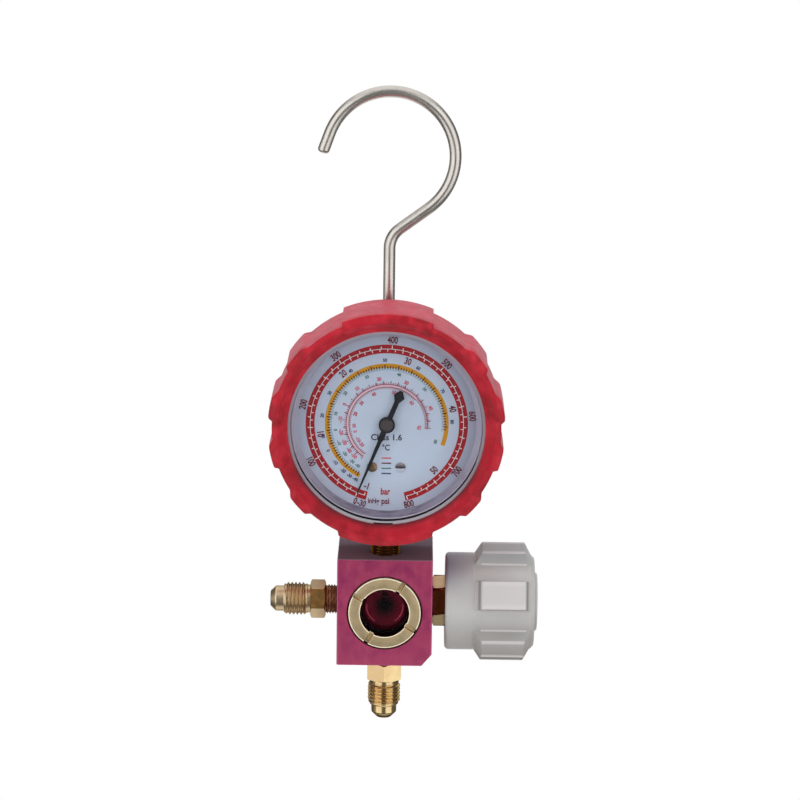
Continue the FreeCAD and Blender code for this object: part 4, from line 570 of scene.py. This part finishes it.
def taken_over(node, name):
    """A copy of a CAD node's mesh as a piece of its own."""
    piece = nodes[node].copy()
    piece.data = nodes[node].data.copy()
    piece.name = name
    piece.parent = None
    for key in list(piece.keys()):
        if key.startswith("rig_"):
            del piece[key]
    bpy.context.scene.collection.objects.link(piece)
    return piece


def soften(mesh, smooth):
    """Smooth all but the edges that are sharper than this, in degrees."""
    mesh.shade_smooth()
    mesh.set_sharp_from_angle(angle=math.radians(smooth))


def tidy_mesh(mesh, smooth):
    """Merge doubles, point the faces outwards and smooth all but the sharp edges."""
    form = bmesh.new()
    form.from_mesh(mesh)
    bmesh.ops.remove_doubles(form, verts=form.verts, dist=1e-7)
    bmesh.ops.dissolve_degenerate(form, edges=form.edges, dist=1e-8)
    bmesh.ops.recalc_face_normals(form, faces=form.faces)
    form.to_mesh(mesh)
    form.free()
    soften(mesh, smooth)


def joined(name, parts):
    """One object from several; each keeps its faces' material."""
    form = bmesh.new()
    materials = []
    for part in parts:
        first = len(form.faces)
        form.from_mesh(part.data)
        form.faces.ensure_lookup_table()
        for face in form.faces[first:]:
            material = part.data.materials[face.material_index]
            if material not in materials:
                materials.append(material)
            face.material_index = materials.index(material)
        bpy.data.objects.remove(part)
    mesh = bpy.data.meshes.new(name)
    form.to_mesh(mesh)
    form.free()
    for material in materials:
        mesh.materials.append(material)
    soften(mesh, SHARP_EDGE)
    return placed(name, mesh)


def plain(piece):
    """Apply what modifiers do to a piece, and give it back as a plain mesh."""
    shape = piece.evaluated_get(bpy.context.evaluated_depsgraph_get())
    mesh = bpy.data.meshes.new_from_object(shape)
    mesh.name = piece.name
    piece.modifiers.clear()
    piece.data = mesh
    return piece


AXES = {
    "x": ((1, 0, 0), (0, 1, 0), (0, 0, 1)),
    "left": ((-1, 0, 0), (0, -1, 0), (0, 0, 1)),
    "y": ((0, 1, 0), (0, 0, 1), (1, 0, 0)),
    "down": ((0, 0, -1), (0, -1, 0), (1, 0, 0)),
}


def turned(name, rows, angles, origin, axis, material, smooth=SHARP_EDGE):
    """A closed form round an axis. Each row is (along, radius), and both may vary with the angle.

    The rows are one closed loop of the section, or start and end on the axis.
    """
    along, across, up = (np.array(v, float) for v in AXES[axis])
    count = len(angles)
    grid = []
    for place, radius in rows:
        place = np.broadcast_to(np.asarray(place, float), (count,))
        radius = np.broadcast_to(np.asarray(radius, float), (count,))
        ring = (np.asarray(origin, float) + np.outer(place, along)
                + np.outer(radius * np.cos(angles), across)
                + np.outer(radius * np.sin(angles), up))
        grid.append(ring)
    points = np.concatenate(grid)
    open_ends = np.max(np.abs(np.asarray(rows[0][1], float))) < 1e-9
    last = len(rows) - 1 if open_ends else len(rows)
    faces = []
    for row in range(last):
        here, there = row * count, (row + 1) % len(rows) * count
        for step in range(count):
            after = (step + 1) % count
            faces.append((here + step, here + after, there + after, there + step))
    return new_piece(name, points.tolist(), faces, material, smooth)


def eased(corners, steps=4, closed=True):
    """Round the corners of a section. Each corner is (along, radius, rounding)."""
    out = []
    count = len(corners)
    for index, (along, radius, ease) in enumerate(corners):
        here = np.array((along, radius), float)
        if ease <= 0 or (not closed and index in (0, count - 1)):
            out.append(tuple(here))
            continue
        before = np.array(corners[index - 1][:2], float)
        after = np.array(corners[(index + 1) % count][:2], float)
        back = (before - here) / np.linalg.norm(before - here)
        ahead = (after - here) / np.linalg.norm(after - here)
        out.append(tuple(here + back * ease * 1.12))
        for step in range(steps + 1):
            t = step / steps
            out.append(tuple(here + back * ease * (1 - t) ** 2 + ahead * ease * t * t))
        out.append(tuple(here + ahead * ease * 1.12))
    return out


def round_angles(count):
    return np.arange(count) * 2 * math.pi / count


def softer(first, second, blend):
    """Smooth minimum."""
    share = np.clip(0.5 + 0.5 * (second - first) / blend, 0, 1)
    return second * (1 - share) + first * share - blend * share * (1 - share)


def swollen(first, second, blend):
    """Smooth maximum."""
    return -softer(-first, -second, blend)


def ramp(value, start, end):
    share = np.clip((value - start) / (end - start), 0, 1)
    return share * share * (3 - 2 * share)


# Geometry node trees

class Former(Tree):
    """A geometry node tree with named inputs."""

    def __init__(self, name, inputs):
        super().__init__(bpy.data.node_groups.new(name, "GeometryNodeTree"))
        self.ids = {}
        for label, default in inputs.items():
            kind = "NodeSocketInt" if isinstance(default, int) else "NodeSocketFloat"
            if default is None:
                kind = "NodeSocketMaterial"
            socket = self.tree.interface.new_socket(label, in_out="INPUT", socket_type=kind)
            if default is not None:
                socket.default_value = default
            self.ids[label] = socket.identifier
        self.tree.interface.new_socket("Geometry", in_out="OUTPUT",
                                       socket_type="NodeSocketGeometry")
        self.source = self.add("NodeGroupInput")

    def given(self, label):
        return Flow(self, self.source.outputs[label])

    def vector(self, **parts):
        return self.out("ShaderNodeCombineXYZ", "Vector", parts)

    def finish(self, shape):
        for kind, inputs in (("RealizeInstances", {}), ("SetShadeSmooth", {}),
                             ("SetMaterial", {"Material": self.given("Material")})):
            shape = self.out("GeometryNode" + kind, "Geometry", {"Geometry": shape, **inputs})
        self.add("NodeGroupOutput", {"Geometry": shape})

    def make(self, name, material, **values):
        """A plain mesh object from the tree with these sizes."""
        piece = placed(name, bpy.data.meshes.new(name))
        modifier = piece.modifiers.new(name, "NODES")
        modifier.node_group = self.tree
        modifier[self.ids["Material"]] = material
        for label, value in values.items():
            modifier[self.ids[label]] = value
        return plain(piece)


def thread_former():
    """A screw thread along X: a closed tube whose outer radius follows the helix."""
    former = Former("screw_thread", {
        "Length": 8.0, "Pitch": 1.27, "Crest": 5.5, "Depth": 0.6, "Taper": 0.0,
        "Inner": 3.3, "Rows": 80, "Around": 64, "Material": None,
    })
    total, out = former.sum, former.out
    length, pitch, depth, inner, rows = (
        former.given(label) for label in ("Length", "Pitch", "Depth", "Inner", "Rows"))
    grid = out("GeometryNodeMeshGrid", "Mesh", {
        "Size X": 1.0, "Size Y": 1.0, "Vertices X": former.given("Around") + 1.0,
        "Vertices Y": rows,
    })
    turn, row, _ = former.split(out("GeometryNodeInputPosition", "Position"))
    turn = turn + 0.5
    row = (row + 0.5) * (rows - 1.0)
    along = total("DIVIDE", row - 1.0, rows - 4.0, clamp=True) * (row < rows - 1.5) * length
    phase = total("FRACT", along / pitch - turn)
    slope = total("ABSOLUTE", phase * 2.0 - 1.0)
    ridge = total("SUBTRACT", slope * 1.3, 0.15, clamp=True)
    near = total("DIVIDE", along, pitch, clamp=True)
    far = total("DIVIDE", length - along, pitch, clamp=True)
    height = ridge * depth * (near * far)
    root = former.given("Crest") - depth - along * former.given("Taper")
    outer = (row > 0.5) * (row < rows - 2.5)
    radius = inner + outer * (root + height - inner)
    angle = turn * (2 * math.pi)
    place = former.vector(X=along, Y=radius * total("COSINE", angle),
                          Z=radius * total("SINE", angle))
    moved = out("GeometryNodeSetPosition", "Geometry", {"Geometry": grid, "Position": place})
    former.finish(out("GeometryNodeMergeByDistance", "Geometry",
                      {"Geometry": moved, "Distance": 0.0005}))
    return former


def tick_former():
    """Ticks round the dial: thin bars on a ring of points."""
    former = Former("dial_ticks", {
        "Count": 10, "First": 0.0, "Step": 0.1, "Radius": 20.0, "Length": 1.0,
        "Width": 0.2, "Height": 0.03, "Material": None,
    })
    given, total, out = former.given, former.sum, former.out
    points = out("GeometryNodePoints", "Geometry", {"Count": given("Count")})
    angle = given("First") + out("GeometryNodeInputIndex", "Index") * given("Step")
    place = former.vector(X=given("Radius") * total("SINE", angle),
                          Z=given("Radius") * total("COSINE", angle))
    ring = out("GeometryNodeSetPosition", "Geometry", {"Geometry": points, "Position": place})
    size = former.vector(X=given("Width"), Y=given("Height"), Z=given("Length"))
    former.finish(out("GeometryNodeInstanceOnPoints", "Instances", {
        "Points": ring, "Instance": out("GeometryNodeMeshCube", "Mesh", {"Size": size}),
        "Rotation": former.vector(Y=angle),
    }))
    return former


def settle(piece, matrix):
    """Turn a shape made in millimetres into its place in metres."""
    piece.data.transform(Matrix.Scale(MM, 4) @ matrix)
    return piece


def axis_matrix(axis, origin, start=0.0):
    """From a shape along X to one along an axis of the part."""
    columns = [Vector(v) for v in AXES[axis]]
    turn = Matrix((columns[0], columns[1], columns[2])).transposed().to_4x4()
    return Matrix.Translation(Vector(origin) + columns[0] * start) @ turn


threads = thread_former()
ticks = tick_former()


# Fittings

def hex_radius(flats, angles, first):
    """Radius of a hexagon; first is the angle of a flat's middle."""
    sector = math.pi / 3
    off = (angles - first + sector / 2) % sector - sector / 2
    return flats / 2 / np.cos(off)


def hex_rows(flats, start, height, angles, first, bore):
    """Rows of a hexagon with turned-off corners."""
    full = hex_radius(flats, angles, first)
    slope = 1 / math.tan(math.radians(25))
    rows = [(start, bore)]
    steps = [0, 0.08, 0.16, 0.24, 0.32, 0.42]
    for step in steps + [height - s for s in reversed(steps)]:
        room = flats / 2 - 0.05 + min(step, height - step) * slope
        rows.append((start + step, np.minimum(full, room)))
    rows.append((start + height, bore))
    return rows


def flare_fitting(name, axis, hex_start, hex_first, material, origin):
    """Pipe thread, hexagon, relief, flare thread, nose and cone, round a bore."""
    angles = round_angles(72)
    core = turned(name + "_core", eased([
        (-6.8, 2.4, 0), (-6.8, 4.1, 0.2), (4.4, 4.45, 0), (4.4, 4.9, 0), (9.3, 4.9, 0),
        (9.3, 4.75, 0.1), (10.2, 4.75, 0), (10.2, 4.85, 0), (18.2, 4.85, 0.15),
        (18.3, 4.3, 0.1), (21.1, 4.3, 0.35), (22.9, 2.55, 0.12), (22.9, 2.4, 0),
    ], 3), angles, origin, axis, material)
    nut = turned(name + "_nut",
                 hex_rows(11.5, hex_start, 9.3 - hex_start, angles, hex_first, 4.2),
                 angles, origin, axis, material, 20)
    pipe = threads.make(name + "_pipe_thread", material, Length=11.0, Pitch=0.94,
                        Crest=4.72, Depth=0.55, Taper=-0.028, Rows=140, Around=64)
    settle(pipe, axis_matrix(axis, origin, -6.6))
    flare = threads.make(name + "_flare_thread", material, Length=8.1, Pitch=1.27,
                         Crest=5.555, Depth=0.72, Rows=100, Around=72)
    settle(flare, axis_matrix(axis, origin, 10.2))
    for part in (pipe, flare):
        tidy_mesh(part.data, 40)
    return joined(name, [core, nut, pipe, flare])


left_face = (-BLOCK_HALF, *PORT_AXIS[1:])
left = flare_fitting("left_flare_fitting", "left", 4.2, LEFT_TURN, left_brass, left_face)
bottom_face = (*PORT_AXIS[:2], BLOCK_BOTTOM)
bottom = flare_fitting("bottom_flare_fitting", "down", 3.1, math.radians(30), port_brass,
                       bottom_face)
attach(left, "manifold")
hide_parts("left_port_fitting")
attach(bottom, "manifold")
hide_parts("bottom_port_fitting")


# Knob

def knob_grip():
    """Collar, core and six ribs, all blended as a casting is."""
    sector = np.concatenate([
        np.arange(0, 11, 1.5), np.arange(11, 21, 0.4), np.arange(21, 30, 1.5), [30.0],
    ])
    half = np.radians(sector)
    whole = np.concatenate([half, math.pi / 3 - half[-2:0:-1]])
    local = np.concatenate([half, -half[-2:0:-1]])
    angles = np.concatenate([whole + k * math.pi / 3 for k in range(6)])
    local = np.tile(local, 6)
    lean_in, lean_out = 6.5 / 3.8, 6.5 / 3.1
    # Half a rib's width at the axis, and the sine and cosine of its side's lean
    width, sine, cosine = 6.923, 0.1146, 0.9934
    side = width / (sine * np.cos(local) + cosine * np.abs(np.sin(local)) + 1e-6)
    rows = [(28.0, 2.85), (28.0, 10.5), (20.3, 10.5)]
    rows += [(20.3 + 1.4 * (1 - math.cos(t)), 16.5 - 1.4 * (1 - math.sin(t)))
             for t in np.linspace(0, math.pi / 2, 7)]
    places = np.concatenate([
        np.linspace(22.4, 28.0, 5), np.linspace(28.4, 34.4, 40), np.linspace(35.2, 45.6, 9),
        np.linspace(46.0, 50.2, 30), [50.32, 50.4],
    ])
    for place in places:
        core = 16.5 - 0.2 * ramp(place, 29.6, 30.6)
        core = softer(core, 16.3 - (place - 49.0), 0.5)
        top = softer(19.96, 13.6 + (place - 28.9) * lean_in, 0.4)
        top = softer(top, 19.96 - (place - 47.0) * lean_out, 0.4)
        rib = softer(top / np.cos(local), side, 0.7)
        rows.append((place, swollen(core, rib, 0.35)))
    rows += [(50.4, 9.1), (42.4, 9.05), (42.4, 2.85)]
    first = math.radians(180 - RIB_ANGLE)
    return turned("knob_grip", rows, angles + first, PORT_AXIS, "x", looks["knob_grey"], 42)


grip = knob_grip()
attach(grip, "handwheel")
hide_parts("knob")


# Boot

LOBES = [(0, 46, 1.0, 1.0), (51, 17, 4.5, 3.0), (78, 16, 5.0, 2.5), (103, 15, 4.5, 2.0),
         (131, 16, 4.5, 3.0), (180, 49, 2.0, 2.0), (229, 16, 3.0, 4.5), (257, 15, 2.0, 4.5),
         (282, 16, 2.5, 5.0), (309, 17, 3.0, 4.5)]


def gauge_boot():
    """Rubber cup: a dished rim, lobes that wrap over it, and soft edges."""
    angles = np.radians(np.arange(0, 360, 0.5))
    clockwise = np.degrees(angles)
    lobe = np.zeros(len(angles))
    for centre, width, early, late in LOBES:
        off = (clockwise - centre + 180) % 360 - 180
        rise = ramp(off, -width / 2 - 0.5, -width / 2 - 0.5 + early)
        fall = ramp(-off, -width / 2 - 0.5, -width / 2 - 0.5 + late)
        lobe = np.maximum(lobe, rise * fall)
    corners = [
        (-13.8, 32.6, 0, 0, 0), (-14.6, 32.6, 0.25, 0, 0), (-15.1, 33.3, 0.5, 0, 0),
        (-16.5, 34.6, 0.6, 0.1, 0), (-17.9, 35.9, 0.35, 0.8, 0.1),
        (-18.0, 36.7, 0.33, 0.7, 0.5),
        (-17.2, 37.7, 0.6, 0.6, 1.3), (-13.5, 37.8, 0.8, 0, 1.4), (4.0, 37.8, 1.0, 0, 1.4),
        (8.4, 37.8, 0.8, 0, 1.35), (9.8, 36.4, 0.6, 0, 0.6), (9.8, 32.2, 0.4, 0, 0),
        (8.0, 32.2, 0, 0, 0), (8.0, 34.6, 0, 0, 0), (-5.7, 34.6, 0, 0, 0),
        (-5.7, 35.7, 0, 0, 0), (-13.8, 35.7, 0, 0, 0),
    ]
    flat = eased([corner[:3] for corner in corners])
    raised = eased([(along - forward, radius + outward, ease)
                    for along, radius, ease, forward, outward in corners])
    rows = []
    for (along, radius), (along_up, radius_up) in zip(flat, raised):
        rows.append((along + (along_up - along) * lobe, radius + (radius_up - radius) * lobe))
    boot = turned("gauge_boot_rubber", rows, angles, GAUGE_AXIS, "y", looks["boot_rubber"], 60)
    hole_side, hole_height, hole_middle = 0.0114, 0.0132, -0.1426
    bpy.ops.mesh.primitive_cube_add(size=1, location=(0, GAUGE_AXIS[1] * MM, hole_middle))
    cutter = bpy.context.object
    cutter.scale = (hole_side, hole_side, hole_height)
    cut = boot.modifiers.new("stem_hole", "BOOLEAN")
    cut.operation = "DIFFERENCE"
    cut.solver = "EXACT"
    cut.object = cutter
    plain(boot)
    bpy.data.objects.remove(cutter)
    soften(boot.data, 60)
    return boot


boot = gauge_boot()
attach(boot, "manifold")
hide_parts("gauge_boot")


# Sight glass ring

def sight_ring():
    """The slotted ring with its edges broken."""
    ring = taken_over("sight_glass_ring", "sight_ring_turned")
    form = bmesh.new()
    form.from_mesh(ring.data)
    bmesh.ops.remove_doubles(form, verts=form.verts, dist=1e-7)
    bmesh.ops.dissolve_limit(form, angle_limit=math.radians(1.0), verts=form.verts,
                             edges=form.edges)
    form.to_mesh(ring.data)
    form.free()
    broken = ring.modifiers.new("edges", "BEVEL")
    broken.width = 0.24 * MM
    broken.segments = 3
    broken.limit_method = "ANGLE"
    broken.angle_limit = math.radians(50)
    plain(ring)
    tidy_mesh(ring.data, 34)
    return ring


ring = sight_ring()
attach(ring, "manifold")
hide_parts("sight_glass_ring")


# Bonnet

def bonnet_hexagon():
    """The bonnet as it came to rest when it was screwed home."""
    piece = taken_over("valve_bonnet", "bonnet_hexagon")
    centre = Matrix.Translation(Vector(PORT_AXIS) * MM)
    piece.data.transform(centre @ Matrix.Rotation(-BONNET_TURN, 4, "X") @ centre.inverted())
    tidy_mesh(piece.data, 30)
    return piece


bonnet = bonnet_hexagon()
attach(bonnet, "manifold")
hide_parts("valve_bonnet")


# Gauge stem

def gauge_stem():
    """The socket with a real pipe thread below its square."""
    plain_radius, root_radius, square_end = 5.0, 4.4, -144.5
    stem = taken_over("gauge_socket", "stem_body")
    middle = GAUGE_AXIS[1]
    for vertex in stem.data.vertices:
        across, depth, up = vertex.co / MM
        reach = math.hypot(across, depth - middle)
        if up < square_end and abs(reach - plain_radius) < 0.1:
            share = root_radius / reach
            vertex.co = (across * share * MM, (middle + (depth - middle) * share) * MM, up * MM)
    tidy_mesh(stem.data, 30)
    thread = threads.make("stem_thread", stem_brass, Length=13.2, Pitch=0.94, Crest=5.0,
                          Depth=0.62, Taper=0.02, Rows=160, Around=64)
    settle(thread, axis_matrix("down", (0.0, middle, -144.7)))
    tidy_mesh(thread.data, 40)
    return joined("gauge_stem_threaded", [stem, thread])


stem = gauge_stem()
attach(stem, "manifold")
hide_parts("gauge_socket")


# Dial print

def dial_point(angle, radius, lift):
    """A point over the dial; the angle is clockwise from the top, in degrees."""
    turn = math.radians(angle)
    return (GAUGE_AXIS[0] + radius * math.sin(turn), DIAL_FACE - lift,
            GAUGE_AXIS[2] + radius * math.cos(turn))


def band(inner, outer, first, last, low, high, colour):
    """A printed arc with square ends, from one angle to another."""
    steps = max(2, int(abs(last - first)))
    points, faces = [], []
    for step in range(steps + 1):
        angle = first + (last - first) * step / steps
        for radius, lift in ((inner, low), (inner, high), (outer, high), (outer, low)):
            points.append(dial_point(angle, radius, lift))
    for step in range(steps):
        for side in range(4):
            here = step * 4 + side
            there = step * 4 + (side + 1) % 4
            faces.append((here, there, there + 4, here + 4))
    faces += [(0, 1, 2, 3), tuple(steps * 4 + k for k in (3, 2, 1, 0))]
    return new_piece("band", points, faces, inks[colour], 30)


def tick_ring(count, first, step, middle, length, width, high, colour):
    """Ticks at equal steps of an angle, round a middle radius."""
    made = ticks.make("ticks", inks[colour], Count=count, First=math.radians(first),
                      Step=math.radians(step), Radius=middle, Length=length, Width=width,
                      Height=0.05)
    place = Matrix.Translation((GAUGE_AXIS[0], DIAL_FACE - high + 0.02, GAUGE_AXIS[2]))
    return settle(made, place)


def lettering(text, angle, radius, height, colour, squeeze, outward=None, lean=None,
              weight=0.02):
    """Raised print on the dial. Below the middle, figures stand with their tops inwards."""
    if outward is None:
        outward = math.cos(math.radians(angle)) > -0.05
    curve = bpy.data.curves.new("print_" + text, "FONT")
    curve.body = text
    curve.size = height / 0.73
    curve.align_x = "CENTER"
    curve.align_y = "CENTER"
    curve.extrude = 0.02
    curve.offset = weight * height
    curve.resolution_u = 3
    words = placed("print_" + text, curve)
    shape = words.evaluated_get(bpy.context.evaluated_depsgraph_get())
    mesh = bpy.data.meshes.new_from_object(shape)
    bpy.data.objects.remove(words)
    turn = math.radians(angle if lean is None else lean)
    up = Vector((math.sin(turn), 0, math.cos(turn)))
    right = Vector((math.cos(turn), 0, -math.sin(turn)))
    if not outward:
        up, right = -up, -right
    basis = Matrix((right * squeeze, up, right.cross(up))).transposed().to_4x4()
    spot = Vector(dial_point(angle, radius, 0.06))
    mesh.transform(Matrix.Scale(MM, 4) @ Matrix.Translation(spot) @ basis)
    mesh.materials.clear()
    mesh.materials.append(inks[colour])
    tidy_mesh(mesh, 30)
    return placed("print", mesh)


# Angles of the two pressure scales, in degrees: nought, 100 psi and 1 bar
PSI_ZERO, PSI_STEP, BAR_STEP = 202.3, 40.25, 5.84
BELOW_ZERO = 196.6


def red_scale():
    parts = [band(23.95, 26.88, 194.6, 525.9, 0, 0.03, "red"),
             band(25.31, 25.5, 196.0, 524.5, 0.03, 0.05, "white")]
    for number in range(41):
        size = 1.25 if number % 5 == 0 else 0.85
        parts.append(tick_ring(1, PSI_ZERO + number * PSI_STEP / 5, 0, 25.4 + size / 2, size,
                               0.28, 0.06, "white"))
    bar_first = PSI_ZERO - BAR_STEP
    parts += [tick_ring(161, PSI_ZERO, PSI_STEP / 20, 25.7, 0.4, 0.2, 0.052, "black"),
              tick_ring(56, bar_first, BAR_STEP, 24.95, 0.9, 0.26, 0.06, "white"),
              tick_ring(111, bar_first, BAR_STEP / 2, 24.9, 0.6, 0.16, 0.03, "black")]
    return joined("dial_pressure_band", parts)


def red_numerals():
    marks = [(str(number * 100), PSI_ZERO + number * PSI_STEP, 28.35, 2.35, 0.7)
             for number in range(1, 9)]
    marks.insert(0, ("0", PSI_ZERO - 1.2, 28.35, 2.35, 0.7))
    marks += [("-30", BELOW_ZERO, 28.4, 2.2, 0.72), ("-1", BELOW_ZERO, 22.25, 2.3, 0.72)]
    marks += [(str(bars), PSI_ZERO + bars * BAR_STEP, 22.25, 2.3, 0.72)
              for bars in (10, 20, 30, 40, 50)]
    parts = [lettering(text, angle, radius, height, "numerals", squeeze, weight=0.035)
             for text, angle, radius, height, squeeze in marks]
    parts += [lettering("bar", 180.6, 23.1, 2.3, "red", 0.76, False, 180, 0.035),
              lettering("psi", 180.4, 26.4, 2.1, "numerals", 0.86, False, 180, 0.03),
              lettering("inHg", 189.0, 26.7, 1.8, "numerals", 0.8, False, 183, 0.03)]
    return joined("dial_red_numerals", parts)


def orange_scale():
    parts = [band(19.05, 20.5, 206.5, 470.8, 0, 0.03, "orange"),
             tick_ring(92, 209, 2.7, 19.22, 0.9, 0.34, 0.06, "black"),
             tick_ring(19, 209, 13.5, 19.35, 1.4, 0.38, 0.065, "black"),
             tick_ring(166, 209, 1.5, 18.45, 0.5, 0.16, 0.03, "green")]
    return joined("dial_outer_temperatures", parts)


def pink_scale():
    parts = [band(12.66, 13.36, 215, 409, 0, 0.02, "blush"),
             band(13.36, 13.6, 215, 457, 0, 0.04, "rose"),
             band(12.44, 12.66, 215, 409, 0, 0.04, "rose"),
             tick_ring(81, 215, 3, 13.85, 0.6, 0.2, 0.04, "rose"),
             tick_ring(65, 215, 3, 12.2, 0.6, 0.18, 0.04, "rose"),
             tick_ring(25, 215, 10, 14.1, 1.1, 0.24, 0.045, "rose"),
             tick_ring(24, 410, 2, 13.0, 0.9, 0.2, 0.04, "rose")]
    return joined("dial_inner_temperatures", parts)


def dial_notes():
    """Class and unit, and a key of four short lines in the scales' colours."""
    parts = [lettering("Class 1.6", 181, 4.6, 2.1, "black", 1.0, False, 180),
             lettering("°C", 181.5, 8.1, 2.0, "black", 0.9, False, 180)]
    for row, colour in enumerate(("pink", "numerals", "green", "blue")):
        bar = tick_ring(1, 0, 0, 0, 0.45, 3.2, 0.03, colour)
        bar.data.transform(Matrix.Translation((0, 0, -(11.6 + row * 1.75) * MM)))
        parts.append(bar)
    return joined("dial_notes", parts)


def small_numerals(name, radius, height, colour, first, angles):
    """Temperatures ten apart, each at its angle."""
    parts = [lettering(str(first + 10 * index), angle, radius, height, colour, 0.9,
                       weight=0.05) for index, angle in enumerate(angles)]
    return joined(name, parts)


prints = [
    red_scale(), red_numerals(), orange_scale(), pink_scale(), dial_notes(),
    small_numerals("dial_blue_numerals", 21.55, 1.15, "blue", -40, (
        208.4, 214.8, 221.7, 232.1, 244.4, 258.3, 277, 298.4, 325.7, 357.7, 388, 418, 447.2)),
    small_numerals("dial_green_numerals", 17.2, 1.1, "green", -40, (
        214, 221.8, 233.5, 247.5, 262.6, 281, 306.6, 336.9, 373, 406, 469.6)),
    small_numerals("dial_pink_outer", 15.4, 1.25, "pink", -50, (
        224.5, 234, 245.8, 259, 275, 295, 319.9, 349.8, 384, 428.7)),
    small_numerals("dial_pink_inner", 10.9, 1.2, "pink", -20, (
        230.4, 241, 255.7, 267, 287.5, 309.7, 336.5, 372, 408, 455.9)),
]
for print_piece in prints:
    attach(print_piece, "manifold")


# Dial screws

def dial_screw_heads():
    """Domed heads; the screws' shafts are in the plate."""
    parts = []
    for side in (-1, 1):
        spot = (side * 4.7, GAUGE_AXIS[1], SCREW_HEIGHT)
        dome = eased([(-6.0, 0, 0), (-6.0, 0.7, 0), (-6.5, 0.7, 0), (-6.5, 1.7, 0.05),
                      (-6.85, 1.66, 0.2), (-7.15, 1.0, 0.3), (-7.25, 0, 0)], closed=False)
        metal_here = bronze_screw if side < 0 else moon_screw()
        parts.append(turned("dial_screw", dome, round_angles(40), spot, "y", metal_here, 40))
    return joined("dial_screw_heads", parts)


heads = dial_screw_heads()
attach(heads, "manifold")
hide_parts("dial_screws")


# Stage

AMBIENT = 0.36


def studio():
    """White behind for what sees the backdrop; between the soft lamps the room is dim."""
    world = bpy.data.worlds.new("studio")
    bpy.context.scene.world = world
    world.use_nodes = True
    room = Tree(world.node_tree)
    path = room.add("ShaderNodeLightPath").outputs
    mirrors = Flow(room, path["Is Glossy Ray"])
    glassy = Flow(room, path["Is Transmission Ray"])
    x, y, z = room.split(room.add("ShaderNodeTexCoord").outputs["Generated"])

    def level_of(way, start, end, low, high):
        return room.spread(way, low, high, start, end, interpolation_type="SMOOTHSTEP")

    mirrored = level_of(y, 0.3, 0.6, 0.0, 1.0) * (
        level_of(x, 0.36, 0.6, 1.0, 0.0) * level_of(x, -0.6, -0.36, 0.0, 1.0))
    for other in ((z, 0.45, 0.9, 0.14, 1.0), (z, -0.96, -0.75, 0.9, 0.0),
                  (x, -0.99, -0.88, 0.42, 0.0)):
        mirrored = room.sum("MAXIMUM", mirrored, level_of(*other))
    dim = room.out("ShaderNodeMix", "Result", {
        "Factor": mirrors * (1.0 - glassy), "A": AMBIENT, "B": mirrored,
    })
    behind_glass = glassy * level_of(y, 0.0, 0.1, 0.0, 1.0)
    seen = room.sum("MAXIMUM", path["Is Camera Ray"], behind_glass)
    level = room.out("ShaderNodeMix", "Result", {"Factor": seen, "A": dim, "B": 1.0})
    back = room.tree.nodes["Background"].inputs
    room.feed(back["Strength"], level)
    room.feed(back["Color"], (1, 1, 1, 1))


def lamp(name, place, size, power, mirrored=True):
    """A soft lamp that faces the gauge."""
    data = bpy.data.lights.new(name, "AREA")
    data.shape = "RECTANGLE"
    data.size, data.size_y = size
    data.energy = power
    holder = placed(name, data)
    holder.location = place
    aim = Vector((0, -0.016, -0.12)) - Vector(place)
    holder.rotation_euler = aim.to_track_quat("-Z", "Y").to_euler()
    holder.visible_glossy = mirrored


def floor():
    """A white floor far below, which polished metal doesn't mirror."""
    mesh = bpy.data.meshes.new("floor")
    side, front, rear, level = 0.5, -0.45, 0.22, -0.34
    mesh.from_pydata([(-side, front, level), (side, front, level), (side, rear, level),
                      (-side, rear, level)], [], [(0, 1, 2, 3)])
    made = Finish("floor_white", (255, 255, 255), Roughness=0.9, Specular_IOR_Level=0.1,
                  Emission_Color=(1, 1, 1, 1), Emission_Strength=0.22)
    made.put(Base_Color=(0.9, 0.9, 0.9, 1))
    let_through(made, "Is Glossy Ray")
    mesh.materials.append(made.material)
    ground = placed("floor", mesh)


def camera():
    """The photograph's view: distance, height angle, side angle and roll from a fit."""
    away, height, side, roll = 1.0, math.radians(12.72), math.radians(0.25), math.radians(0.75)
    target = Vector((4.2, PORT_AXIS[1], 69.64 + PORT_AXIS[2])) * MM
    look = Vector((-math.sin(side) * math.cos(height), math.cos(side) * math.cos(height),
                   -math.sin(height)))
    right = Vector((math.cos(side), math.sin(side), 0))
    up = right.cross(look)
    turned_right = right * math.cos(roll) + up * math.sin(roll)
    turned_up = up * math.cos(roll) - right * math.sin(roll)
    data = bpy.data.cameras.new("photo_camera")
    data.sensor_width = 36.0
    data.lens = 134.3
    data.clip_start, data.clip_end = 0.05, 50
    holder = placed("photo_camera", data)
    basis = Matrix((turned_right, turned_up, -look)).transposed().to_4x4()
    holder.matrix_world = Matrix.Translation(target - look * away) @ basis
    bpy.context.scene.camera = holder


studio()
lamp("left_soft", (-0.95, -0.9, 0.0), (1.5, 1.9), 10.4)
lamp("right_soft", (0.95, -0.9, 0.0), (1.5, 1.9), 9.9)
lamp("top_soft", (0.0, -0.05, 0.7), (0.8, 0.55), 4.2, False)
floor()
camera()
bpy.context.scene.view_settings.view_transform = "Standard"
